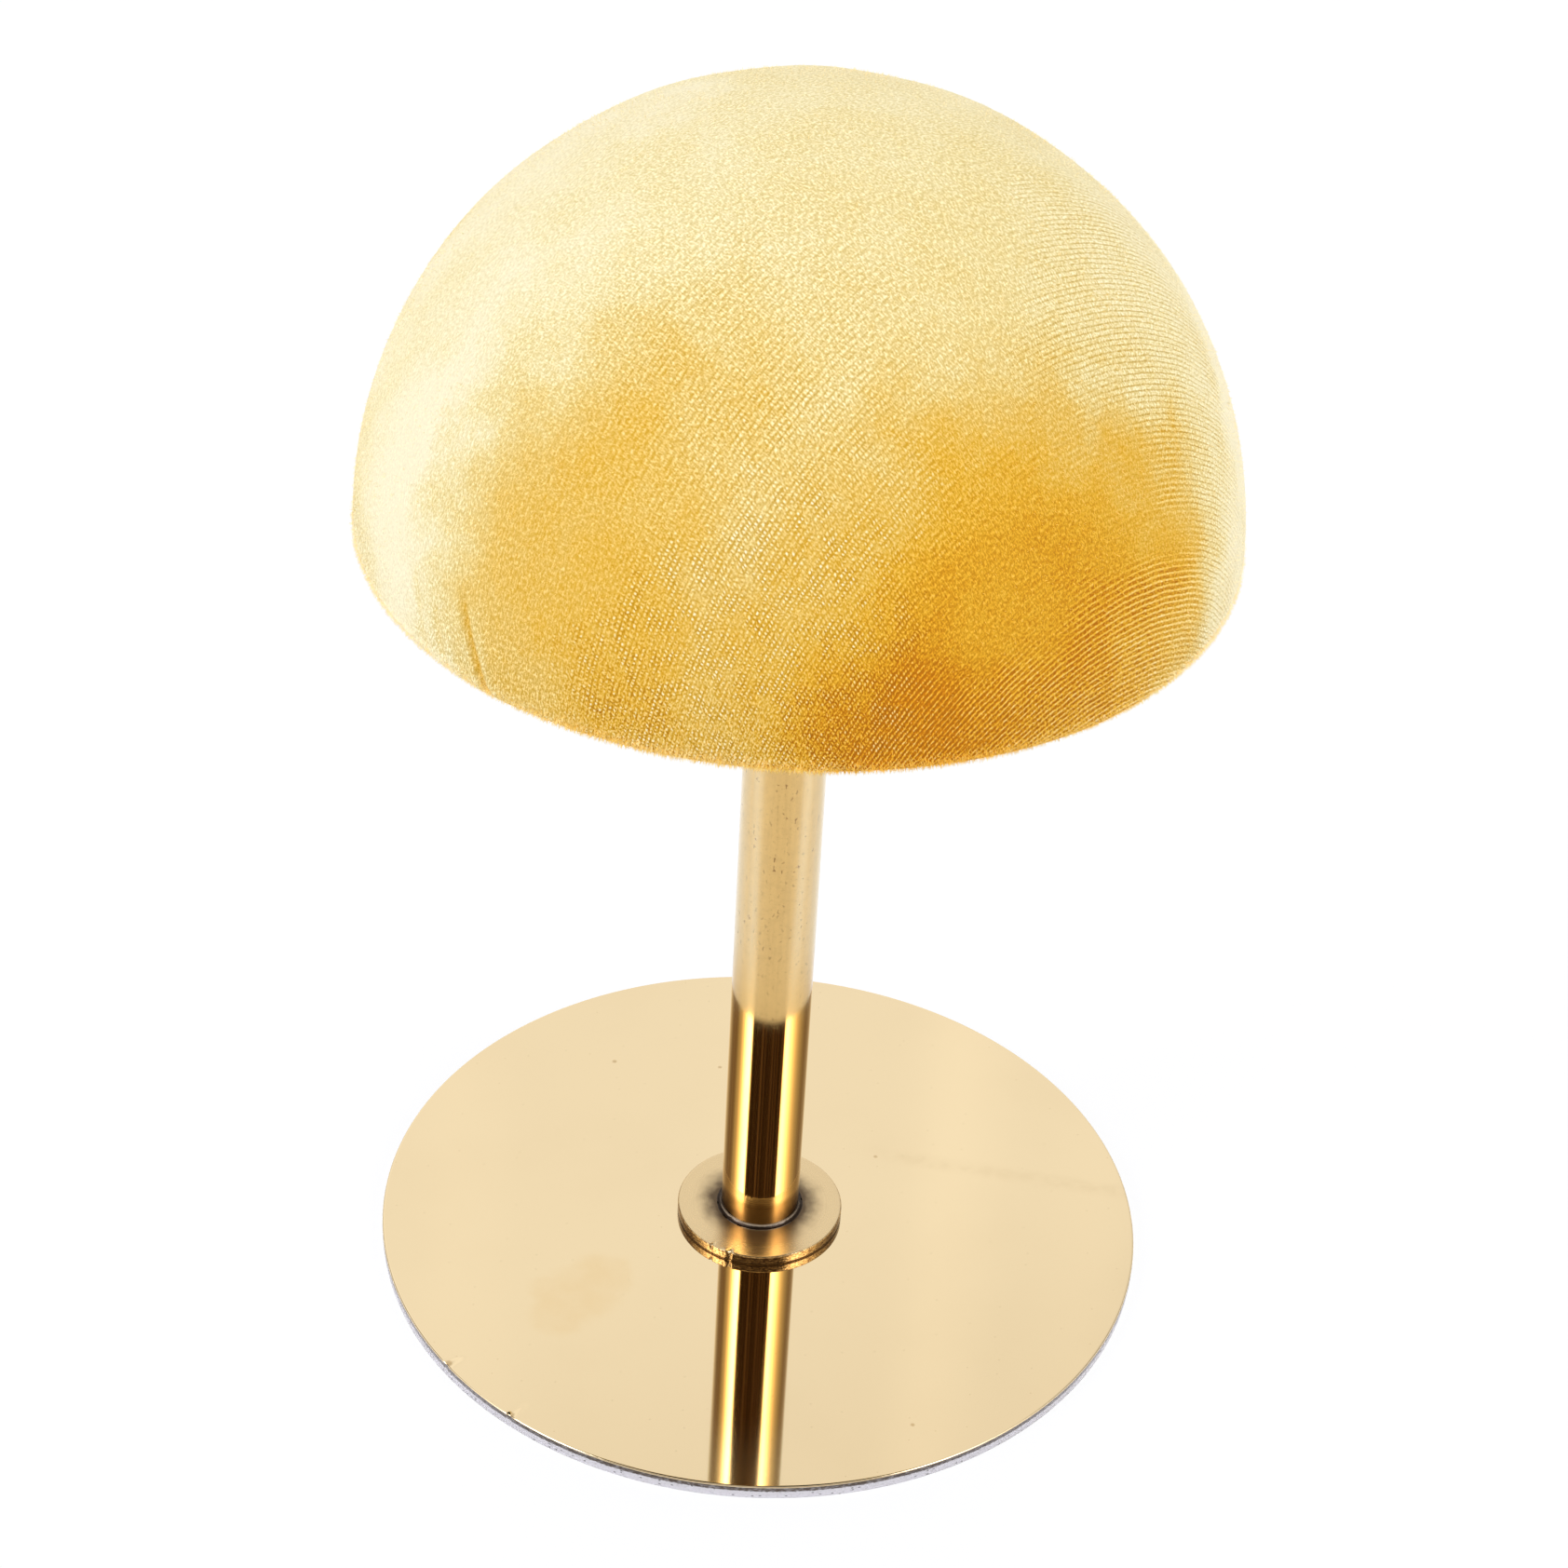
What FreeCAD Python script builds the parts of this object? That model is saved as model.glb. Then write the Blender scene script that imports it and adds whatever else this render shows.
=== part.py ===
import FreeCAD, Part
import math
import os

# Wig stand: a velvet half ball on a mirror gold pole that is bolted to a round mirror gold plate.
# Millimetres. Z points up, the pole's axis is the Z axis, and the plate stands on Z = 0.

# Base plate, a round punched from coated sheet, so its cut edge is bare metal
plate_diameter = 156.0
plate_thickness = 3.0
plate_rollover = 0.25
plate_shear_band = 1.35
plate_break_setback = 0.15

# Countersunk socket screw that pulls the pole down on the plate from below
base_screw_diameter = 6.0
base_screw_length = 20.0
base_screw_recess = 0.2
base_screw_land = 0.15
base_socket_width = 4.0
base_socket_depth = 2.2
screw_hole_room = 0.3

# Washer welded round the pole's foot, and the ring of weld
washer_diameter = 34.0
washer_thickness = 2.2
washer_edge_radius = 0.3
weld_leg = 0.9

# Pole tube and the threaded plugs brazed into its two ends
tube_diameter = 16.0
tube_wall = 1.0
tube_length = 163.8
lower_plug_length = 24.0
upper_plug_length = 24.0
plug_chamfer = 0.8
braze_gap = 0.03

# Threaded stud that carries the dome, and the room between a thread and its nut
stud_diameter = 8.0
stud_length = 29.5
stud_depth_in_plug = 16.0
thread_gap = 0.05
thread_chamfer = 0.8

# Plastic washer that lies between the tube's end and the dome
head_washer_diameter = 24.0
head_washer_thickness = 1.0
head_washer_room = 0.25

# Plywood disc let into the flat of the foam, and the pronged nut driven into it from above
board_thickness = 9.0
tee_flange_diameter = 22.0
tee_flange_thickness = 1.4
tee_barrel_diameter = 10.4
tee_barrel_length = 7.5
tee_barrel_room = 0.1
tee_prong_circle = 17.0
tee_prong_length = 5.0
tee_prong_width = 3.0
tee_prong_thickness = 1.2
TEE_PRONGS = 4

# Foam half ball
foam_diameter = 156.8
foam_edge_radius = 1.6
foam_lip = 3.8
foam_pocket_room = 2.0

# Stretched velvet over the foam, turned in under the rim
velvet_thickness = 1.4
velvet_past_staples = 6.0
soft_gap = 0.05

# Wire staples that hold the turned-in velvet to the board
staple_crown = 10.0
staple_leg = 5.0
staple_wire_width = 0.8
staple_wire_thickness = 0.5
staple_inset = 12.0
STAPLES = 20

# Cloth disc that hides the staples and the velvet's raw edge
dust_cover_thickness = 0.5
dust_cover_slope = 2.5
dust_cover_reach = 6.0
dust_cover_lip = 3.0
dust_cover_hole_room = 2.0

# One overrun serves every cut
overrun = 1.0
FULL_TURN = 360.0
HEX_SIDES = 6
diagonal_share = math.sqrt(0.5)

# Levels up the pole's axis
plate_top = plate_thickness
washer_top = plate_top + washer_thickness
tube_top = washer_top + tube_length
board_bottom = tube_top + head_washer_thickness
board_top = board_bottom + board_thickness
tee_top = board_top + tee_flange_thickness
stud_bottom = tube_top - stud_depth_in_plug
stud_top = stud_bottom + stud_length
velvet_bottom = board_bottom - soft_gap - velvet_thickness
staple_bottom = velvet_bottom - staple_wire_thickness

# The screw's cone fills the plate between its recess and the land left at the top
base_head_depth = plate_thickness - base_screw_recess - base_screw_land

# Radii that several pieces share
tube_radius = tube_diameter / 2
plug_radius = tube_radius - tube_wall - braze_gap
base_screw_radius = base_screw_diameter / 2
base_head_radius = base_screw_radius + base_head_depth
base_hole_radius = base_screw_radius + screw_hole_room
stud_radius = stud_diameter / 2
stud_bore_radius = stud_radius + thread_gap
head_washer_radius = head_washer_diameter / 2
foam_radius = foam_diameter / 2

# The rim's rounding sits inside the ball and on the flat, so its centre follows from both.
# The board leaves a lip of foam inside it, the staples go into the board, and the velvet ends past them.
rim_centre_radius = math.sqrt((foam_radius - foam_edge_radius) ** 2 - foam_edge_radius**2)
board_radius = rim_centre_radius - foam_lip
staple_circle_radius = board_radius - staple_inset
velvet_inner_radius = staple_circle_radius - velvet_past_staples

ORIGIN = FreeCAD.Vector(0, 0, 0)
UP = FreeCAD.Vector(0, 0, 1)


def at(radius, level):
    """A point of a half section, by its distance from the axis and its level."""
    return FreeCAD.Vector(radius, 0, level)


def on_circle(centre_radius, centre_level, circle_radius, angle):
    """A point of a half section on a circle, at an angle in radians above level."""
    outward = circle_radius * math.cos(angle)
    upward = circle_radius * math.sin(angle)
    return at(centre_radius + outward, centre_level + upward)


def line(start, end):
    return Part.LineSegment(start, end).toShape()


def arc(start, middle, end):
    return Part.Arc(start, middle, end).toShape()


def spun(edges):
    """The solid that a closed half section makes when it turns about the axis."""
    return Part.Face(Part.Wire(edges)).revolve(ORIGIN, UP, FULL_TURN)


def spun_corners(corners):
    """A turned solid whose half section has straight sides between corners (radius, level)."""
    points = [at(radius, level) for radius, level in corners]
    return spun([line(a, b) for a, b in zip(points, points[1:] + points[:1])])


def cylinder(radius, bottom, top):
    return Part.makeCylinder(radius, top - bottom, at(0, bottom), UP)


def hexagon(width, bottom, top):
    """An upright six-sided prism, by its width across flats."""
    corner_radius = width / 2 / math.cos(math.pi / HEX_SIDES)
    first = at(corner_radius, bottom)
    turns = [FreeCAD.Rotation(UP, FULL_TURN * i / HEX_SIDES) for i in range(HEX_SIDES)]
    corners = [turn.multVec(first) for turn in turns]
    outline = Part.makePolygon(corners + corners[:1])
    return Part.Face(outline).extrude(UP * (top - bottom))


def turned(shape, angle):
    """A copy of a shape, turned about the axis by an angle in degrees."""
    copy = shape.copy()
    copy.rotate(ORIGIN, UP, angle)
    return copy


def upright_box(centre_radius, radial, tangential, bottom, top):
    """A box that stands across the X axis, with its middle at a radius."""
    corner = FreeCAD.Vector(centre_radius - radial / 2, -tangential / 2, bottom)
    return Part.makeBox(radial, tangential, top - bottom, corner)


def threaded_rod(radius, bottom, top):
    """A rod at its thread's outer size, with a chamfer at each end."""
    return spun_corners(
        [
            (0, bottom),
            (radius - thread_chamfer, bottom),
            (radius, bottom + thread_chamfer),
            (radius, top - thread_chamfer),
            (radius - thread_chamfer, top),
            (0, top),
        ]
    )


def threaded_plug(bore_radius, bottom, top):
    """A plug that fills the tube round a threaded bore, with its outer edges chamfered."""
    return spun_corners(
        [
            (bore_radius, bottom),
            (plug_radius - plug_chamfer, bottom),
            (plug_radius, bottom + plug_chamfer),
            (plug_radius, top - plug_chamfer),
            (plug_radius - plug_chamfer, top),
            (bore_radius, top),
        ]
    )


def countersink(small_radius, bottom, depth, widening):
    """The space of a square cone under a flat, wide end down, kept open below by the overrun."""
    large_radius = small_radius + depth + widening
    return spun_corners(
        [
            (0, bottom - overrun),
            (large_radius, bottom - overrun),
            (large_radius, bottom),
            (small_radius + widening, bottom + depth),
            (0, bottom + depth),
        ]
    )


def base_plate():
    """The punched round: rolled top edge, smooth sheared band, then the rough broken band set back."""
    radius = plate_diameter / 2
    break_level = plate_top - plate_rollover - plate_shear_band
    roll_centre_radius = radius - plate_rollover
    roll_reach = plate_rollover * diagonal_share
    roll_middle = at(roll_centre_radius + roll_reach, plate_top - plate_rollover + roll_reach)
    corners = [
        at(0, plate_top),
        at(roll_centre_radius, plate_top),
        at(radius, plate_top - plate_rollover),
        at(radius, break_level),
        at(radius - plate_break_setback, 0),
        at(0, 0),
    ]
    edges = [
        line(corners[0], corners[1]),
        arc(corners[1], roll_middle, corners[2]),
        line(corners[2], corners[3]),
        line(corners[3], corners[4]),
        line(corners[4], corners[5]),
        line(corners[5], corners[0]),
    ]
    seat = countersink(base_screw_radius, base_screw_recess, base_head_depth, thread_gap)
    hole = cylinder(base_hole_radius, -overrun, plate_top + overrun)
    return spun(edges).cut(seat).cut(hole)


def base_screw():
    """Flat head up to the plate's seat, shank through the washer and into the lower plug."""
    head_bottom = base_screw_recess
    head_top = head_bottom + base_head_depth
    shank_top = head_bottom + base_screw_length
    shank = threaded_rod(base_screw_radius, head_bottom, shank_top)
    cone = [(0, head_bottom), (base_head_radius, head_bottom), (base_screw_radius, head_top), (0, head_top)]
    head = spun_corners(cone)
    socket = hexagon(base_socket_width, head_bottom - overrun, head_bottom + base_socket_depth)
    return shank.fuse(head).removeSplitter().cut(socket)


def foot_washer():
    """The thick washer at the pole's foot, with both outer edges rounded."""
    radius = washer_diameter / 2
    flat_radius = radius - washer_edge_radius
    reach = washer_edge_radius * diagonal_share
    low_centre = plate_top + washer_edge_radius
    high_centre = washer_top - washer_edge_radius
    corners = [
        at(base_hole_radius, plate_top),
        at(flat_radius, plate_top),
        at(radius, low_centre),
        at(radius, high_centre),
        at(flat_radius, washer_top),
        at(base_hole_radius, washer_top),
    ]
    return spun(
        [
            line(corners[0], corners[1]),
            arc(corners[1], at(flat_radius + reach, low_centre - reach), corners[2]),
            line(corners[2], corners[3]),
            arc(corners[3], at(flat_radius + reach, high_centre + reach), corners[4]),
            line(corners[4], corners[5]),
            line(corners[5], corners[0]),
        ]
    )


def foot_weld():
    """The hollow-faced ring of weld in the corner between the tube and the washer."""
    inner = tube_radius + braze_gap
    outer = inner + weld_leg
    reach = weld_leg * (1 - diagonal_share)
    corner = at(inner, washer_top)
    foot = at(outer, washer_top)
    head = at(inner, washer_top + weld_leg)
    face = arc(foot, at(inner + reach, washer_top + reach), head)
    return spun([line(corner, foot), face, line(head, corner)])


def pole_tube():
    bore = cylinder(tube_radius - tube_wall, washer_top - overrun, tube_top + overrun)
    return cylinder(tube_radius, washer_top, tube_top).cut(bore)


def lower_plug():
    return threaded_plug(base_screw_radius + thread_gap, washer_top, washer_top + lower_plug_length)


def upper_plug():
    return threaded_plug(stud_bore_radius, tube_top - upper_plug_length, tube_top)


def head_stud():
    return threaded_rod(stud_radius, stud_bottom, stud_top)


def head_washer():
    bore = cylinder(stud_radius + head_washer_room, tube_top - overrun, board_bottom + overrun)
    return cylinder(head_washer_radius, tube_top, board_bottom).cut(bore)


def tee_prongs(room):
    """The nut's prongs, or with room the slots that they make in the board."""
    radial = tee_prong_thickness + room
    tangential = tee_prong_width + room
    bottom = board_top - tee_prong_length - room
    prong = upright_box(tee_prong_circle / 2, radial, tangential, bottom, board_top)
    return [turned(prong, FULL_TURN * i / TEE_PRONGS) for i in range(TEE_PRONGS)]


def tee_nut():
    """A flange on the board, a threaded barrel down its hole and prongs down into the wood."""
    flange = cylinder(tee_flange_diameter / 2, board_top, tee_top)
    barrel = cylinder(tee_barrel_diameter / 2, board_top - tee_barrel_length, board_top)
    bore = cylinder(stud_bore_radius, board_bottom - overrun, tee_top + overrun)
    return flange.multiFuse([barrel] + tee_prongs(0)).removeSplitter().cut(bore)


def staples(room):
    """Every staple, crown down, as separate solids, or with room the slots that they make."""
    leg_offset = (staple_crown - staple_wire_width) / 2
    leg_top = velvet_bottom + velvet_thickness + soft_gap + staple_leg + room
    radial = staple_wire_width + room
    crown = upright_box(staple_circle_radius, radial, staple_crown + room, staple_bottom, velvet_bottom)
    legs = []
    for side in (-1, 1):
        leg = upright_box(staple_circle_radius, radial, radial, velvet_bottom, leg_top)
        leg.translate(FreeCAD.Vector(0, side * leg_offset, 0))
        legs.append(leg)
    staple = crown.multiFuse(legs).removeSplitter()
    return [turned(staple, FULL_TURN * (i + 0.5) / STAPLES) for i in range(STAPLES)]


def cover_staples():
    return Part.makeCompound(staples(0))


def dome_board():
    """The plywood disc with the nut's hole and the slots of its prongs and of the staples."""
    hole = cylinder(tee_barrel_diameter / 2 + tee_barrel_room, board_bottom - overrun, board_top + overrun)
    disc = cylinder(board_radius, board_bottom, board_top)
    return disc.cut([hole] + tee_prongs(soft_gap) + staples(soft_gap))


def dome_side(offset):
    """The half ball's outline at an offset from the foam, from its top round the rim to its flat."""
    ball_radius = foam_radius + offset
    rim_radius = foam_edge_radius + offset
    rim_level = board_bottom + foam_edge_radius
    meeting_angle = math.atan2(foam_edge_radius, rim_centre_radius)
    ball_middle = (meeting_angle + math.pi / 2) / 2
    rim_middle = (meeting_angle - math.pi / 2) / 2
    top = at(0, board_bottom + ball_radius)
    middle = on_circle(0, board_bottom, ball_radius, ball_middle)
    meeting = on_circle(0, board_bottom, ball_radius, meeting_angle)
    rim = on_circle(rim_centre_radius, rim_level, rim_radius, rim_middle)
    flat = at(rim_centre_radius, board_bottom - offset)
    return top, flat, [arc(top, middle, meeting), arc(meeting, rim, flat)]


def foam_core():
    """The half ball, with pockets in its flat for the board, the nut's flange and the stud's end."""
    top, flat, side = dome_side(0)
    centre = at(0, board_bottom)
    ball = spun(side + [line(flat, centre), line(centre, top)])
    below = board_bottom - overrun
    board_pocket = cylinder(board_radius + soft_gap, below, board_top + soft_gap)
    nut_pocket = cylinder(tee_flange_diameter / 2 + foam_pocket_room, below, tee_top + soft_gap)
    stud_end_level = max(stud_top, tee_top) + foam_pocket_room
    stud_pocket = cylinder(stud_radius + foam_pocket_room, below, stud_end_level)
    return ball.cut([board_pocket, nut_pocket, stud_pocket])


def velvet_cover():
    """The velvet skin over the ball and round its rim, with the margin stapled under the board."""
    inner_top, inner_flat, inner_side = dome_side(soft_gap)
    outer_top, outer_flat, outer_side = dome_side(soft_gap + velvet_thickness)
    inner_end = at(velvet_inner_radius, inner_flat.z)
    outer_end = at(velvet_inner_radius, outer_flat.z)
    margin = [line(outer_flat, outer_end), line(outer_end, inner_end), line(inner_end, inner_flat)]
    skin = spun(outer_side + margin + inner_side[::-1] + [line(inner_top, outer_top)])
    return skin.cut(staples(soft_gap))


def dust_cover():
    """The cloth disc: flat on the board, down over the velvet's edge and the staples, then up to a lip."""
    inner = head_washer_radius + dust_cover_hole_room
    board_edge = velvet_inner_radius - dust_cover_slope
    low_end = staple_circle_radius + dust_cover_reach
    lip_start = low_end + dust_cover_slope
    outer = lip_start + dust_cover_lip
    low = staple_bottom - soft_gap
    upper = [
        (inner, board_bottom),
        (board_edge, board_bottom),
        (velvet_inner_radius - soft_gap, low),
        (low_end, low),
        (lip_start, velvet_bottom),
        (outer, velvet_bottom),
    ]
    lower = [(radius, level - dust_cover_thickness) for radius, level in reversed(upper)]
    return spun_corners(upper + lower)


PIECES = [
    base_plate,
    base_screw,
    foot_washer,
    foot_weld,
    lower_plug,
    pole_tube,
    upper_plug,
    head_stud,
    head_washer,
    dome_board,
    tee_nut,
    foam_core,
    velvet_cover,
    cover_staples,
    dust_cover,
]

os.makedirs("parts", exist_ok=True)
for piece in PIECES:
    solid = piece()
    solid.exportStep(f"parts/{piece.__name__}.step")
    box = solid.BoundBox
    print(
        f"{piece.__name__}: {len(solid.Solids)} solid(s), {solid.Volume:.1f} mm3, "
        f"radius {box.XMax:.2f}, Z {box.ZMin:.2f} to {box.ZMax:.2f}, valid {solid.isValid()}"
    )
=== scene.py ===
import logging
import math
from dataclasses import dataclass
from enum import Enum
from typing import Any, Callable, Optional, Sequence

import bpy
import numpy as np
from mathutils import Matrix, Vector


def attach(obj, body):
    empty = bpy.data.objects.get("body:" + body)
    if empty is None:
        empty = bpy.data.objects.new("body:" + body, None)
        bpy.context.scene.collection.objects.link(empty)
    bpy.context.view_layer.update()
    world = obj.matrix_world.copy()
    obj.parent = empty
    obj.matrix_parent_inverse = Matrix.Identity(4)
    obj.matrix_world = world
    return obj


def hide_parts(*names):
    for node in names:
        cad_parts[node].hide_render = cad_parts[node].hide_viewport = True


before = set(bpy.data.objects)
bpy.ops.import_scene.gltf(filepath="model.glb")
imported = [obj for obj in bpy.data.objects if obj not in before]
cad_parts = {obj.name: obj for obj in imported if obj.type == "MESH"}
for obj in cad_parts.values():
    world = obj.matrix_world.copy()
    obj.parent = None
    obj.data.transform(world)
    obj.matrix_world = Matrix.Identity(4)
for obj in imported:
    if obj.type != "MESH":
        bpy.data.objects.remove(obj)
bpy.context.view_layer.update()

LOG = logging.getLogger("wig_stand")
MM = 0.001
TURN = 2 * math.pi
CLOTH_MAP = "cloth"
# the mesh mark that carries the velvet's painted shade in folds
FOLD_SHADE_MARK = "fold"
WHITE = (1.0, 1.0, 1.0)

Colour = tuple[float, float, float]
Range = tuple[float, float]
Corner = tuple[float, float]
Stop = tuple[float, Colour]
Pair = tuple[np.ndarray, np.ndarray]
Shape = Callable[[np.ndarray, np.ndarray, np.ndarray], Pair]


class Body(Enum):
    """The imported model's bodies that the script's own pieces ride on."""

    STAND = "stand"
    DOME = "dome"


class Slot(Enum):
    """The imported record's material slots that the script's own pieces stand for."""

    PLATE = "mirror_gold_plate"
    TUBE = "mirror_gold_tube"
    WASHER = "satin_gold_washer"
    WELD = "weld_metal"
    ZINC = "zinc_steel"
    VELVET = "gold_velvet"
    DUST_CLOTH = "dust_cloth"


def opaque(colour: Colour) -> tuple[float, float, float, float]:
    """The colour with the alpha that Blender's colour sockets want."""
    return (*colour, 1.0)


class Sock:
    """An output of a node. Python's operators on it add Math nodes."""

    def __init__(self, net: "Net", out: bpy.types.NodeSocket) -> None:
        """Keeps the socket and the net that it belongs to."""
        self.net, self.out = net, out

    def math(self, operation: str, *others: Any) -> "Sock":
        """A Math node of that operation, with this socket as its first value."""
        return self.net.math(operation, self, *others)

    def __add__(self, other: Any) -> "Sock":
        """self + other."""
        return self.math("ADD", other)

    def __sub__(self, other: Any) -> "Sock":
        """self - other."""
        return self.math("SUBTRACT", other)

    def __rsub__(self, other: Any) -> "Sock":
        """other - self."""
        return self.net.math("SUBTRACT", other, self)

    def __mul__(self, other: Any) -> "Sock":
        """self * other."""
        return self.math("MULTIPLY", other)

    def __truediv__(self, other: Any) -> "Sock":
        """self / other."""
        return self.math("DIVIDE", other)

    def __pow__(self, other: Any) -> "Sock":
        """self ** other."""
        return self.math("POWER", other)

    __radd__ = __add__
    __rmul__ = __mul__

    def smooth(self, low: float, high: float) -> "Sock":
        """0 below low and 1 above high, smooth in between, or the other way round if low is the larger.

        Args:
            low: The value that gives 0.
            high: The value that gives 1.

        Returns:
            The eased share between the two.
        """
        if low > high:
            return 1 - self.smooth(high, low)
        settings = {"interpolation_type": "SMOOTHSTEP"}
        return self.net.add("MapRange", settings, {"Value": self, "From Min": low, "From Max": high})

    def wave(self) -> "Sock":
        """A cosine of this value in turns, from 0 to 1 with its crest at every whole number."""
        return (self * TURN).math("COSINE") * 0.5 + 0.5


class Net:
    """The nodes of one material or of the world."""

    def __init__(self, tree: bpy.types.NodeTree) -> None:
        """Starts with an empty node tree."""
        self.tree = tree
        tree.nodes.clear()

    def add(
        self,
        kind: str,
        settings: Optional[dict[str, Any]] = None,
        inputs: Optional[dict[Any, Any]] = None,
        out: Any = 0,
    ) -> Optional[Sock]:
        """Adds one node.

        Args:
            kind: The node's type without its ShaderNode prefix.
            settings: Its settings, which are made first. stops are a colour ramp's.
            inputs: The values or links of its sockets, by name or number.
            out: The output to give back, or None for a node without one.

        Returns:
            That output.
        """
        node = self.tree.nodes.new("ShaderNode" + kind)
        for name, value in (settings or {}).items():
            if name == "stops":
                self.set_stops(node.color_ramp, value)
            else:
                setattr(node, name, value)
        for name, value in (inputs or {}).items():
            if isinstance(value, Sock):
                self.tree.links.new(value.out, node.inputs[name])
            else:
                node.inputs[name].default_value = value
        return None if out is None else Sock(self, node.outputs[out])

    @staticmethod
    def set_stops(ramp: bpy.types.ColorRamp, stops: Sequence[Stop]) -> None:
        """Sets a colour ramp's stops.

        Args:
            ramp: The ramp of a Color Ramp node.
            stops: Each stop's place from 0 to 1 and its colour.
        """
        while len(ramp.elements) < len(stops):
            ramp.elements.new(1.0)
        for element, (place, colour) in zip(ramp.elements, stops):
            element.position = place
            element.color = opaque(colour)

    def math(self, operation: str, *values: Any) -> Sock:
        """A Math node with those values."""
        return self.add("Math", {"operation": operation}, dict(enumerate(values)))

    def vector(self, operation: str, *values: Any, out: int = 0) -> Sock:
        """A Vector Math node with those values."""
        return self.add("VectorMath", {"operation": operation}, dict(enumerate(values)), out)

    def mix(self, share: Any, first: Any, second: Any) -> Sock:
        """A colour that goes from the first to the second.

        Args:
            share: How much of the second, from 0 to 1.
            first: A colour or a socket.
            second: A colour or a socket.

        Returns:
            The mixed colour.
        """
        first, second = (x if isinstance(x, Sock) else opaque(x) for x in (first, second))
        return self.add("Mix", {"data_type": "RGBA"}, {0: share, 6: first, 7: second}, 2)

    def ramp(self, value: Sock, stops: Sequence[Stop]) -> Sock:
        """The colour of a ramp at that value."""
        return self.add("ValToRGB", {"stops": stops}, {"Fac": value})

    def parts(self, vector: Sock) -> tuple[Sock, Sock, Sock]:
        """The three numbers of a vector."""
        whole = self.add("SeparateXYZ", inputs={"Vector": vector})
        return tuple(Sock(self, out) for out in whole.out.node.outputs)

    def joined(self, x: Any, y: Any, z: Any) -> Sock:
        """A vector from three numbers."""
        return self.add("CombineXYZ", inputs={"X": x, "Y": y, "Z": z})

    def place(self) -> Sock:
        """The point on the piece, in millimetres in the row frame."""
        return self.vector("MULTIPLY", self.add("TexCoord", out="Object"), (1 / MM,) * 3)

    def radius(self, x: Sock, y: Sock) -> Sock:
        """The distance from the pole's axis."""
        return self.vector("LENGTH", self.joined(x, y, 0.0), out=1)

    def azimuth(self, x: Sock, y: Sock) -> Sock:
        """The angle from the front in radians, positive to the right."""
        return x.math("ARCTAN2", y * -1.0)

    def noise(self, vector: Sock, scale: float, detail: float = 2.0, out: str = "Fac") -> Sock:
        """A cloudy pattern from 0 to 1.

        Args:
            vector: Where to read the pattern.
            scale: How many features there are to a unit.
            detail: How many finer layers are added.
            out: Fac for one number, Color for three.

        Returns:
            The pattern.
        """
        return self.add("TexNoise", inputs={"Vector": vector, "Scale": scale, "Detail": detail}, out=out)

    def specks(self, vector: Sock, scale: float, size: float, share: float) -> Sock:
        """Scattered dots.

        Args:
            vector: Where to read the pattern, of which the third number isn't used.
            scale: How many cells there are to a unit, each with a dot at most.
            size: A dot's radius, in cells.
            share: The share of the cells that have one.

        Returns:
            1 on a dot and 0 elsewhere.
        """
        settings = {"voronoi_dimensions": "2D"}
        node = self.add("TexVoronoi", settings, {"Vector": vector, "Scale": scale}, "Distance").out.node
        chosen = self.parts(Sock(self, node.outputs["Color"]))[0].smooth(1 - share, 1.02 - share)
        return Sock(self, node.outputs["Distance"]).smooth(size, size * 0.5) * chosen

    def spot(self, place: Sock, centre: tuple[float, float, float], radius: float) -> Sock:
        """A soft round mark, 1 at its centre and 0 past its radius."""
        return self.vector("DISTANCE", place, centre, out=1).smooth(radius, radius * 0.35)

    def bump(self, height: Sock, depth: float, strength: float = 1.0) -> Sock:
        """The normal that a relief gives.

        Args:
            height: The relief, from 0 to 1.
            depth: What 1 stands for, in millimetres.
            strength: How much of the relief is used.

        Returns:
            The bent normal.
        """
        return self.add("Bump", inputs={"Strength": strength, "Distance": depth * MM, "Height": height})

    def surface(self, base: Any, roughness: Any, normal: Optional[Sock] = None, **fixed: Any) -> Sock:
        """A Principled shader.

        Args:
            base: Its base colour, plain or linked.
            roughness: Its roughness, plain or linked.
            normal: The bent normal, if it has relief.
            fixed: Other sockets, with underscores for the spaces in their names.

        Returns:
            The shader.
        """
        inputs = {"Base Color": base if isinstance(base, Sock) else opaque(base), "Roughness": roughness}
        inputs.update({name.replace("_", " "): value for name, value in fixed.items()})
        if normal is not None:
            inputs["Normal"] = normal
        return self.add("BsdfPrincipled", inputs=inputs)


class Finish:
    """A finish. Its material is made once and shared by the pieces that have it."""

    def shader(self, net: Net) -> Sock:
        """The surface shader of this finish."""
        raise NotImplementedError

    def material(self) -> bpy.types.Material:
        """The material, which is made the first time that it is asked for."""
        name = type(self).__name__
        found = bpy.data.materials.get(name)
        if found is None:
            found = bpy.data.materials.new(name)
            found.use_nodes = True
            net = Net(found.node_tree)
            net.add("OutputMaterial", inputs={"Surface": self.shader(net)}, out=None)
        return found


@dataclass(frozen=True)
class Stain:
    """A mark on a metal face: its middle and radius in millimetres and how strong it is."""

    x: float
    y: float
    radius: float
    strength: float


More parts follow.
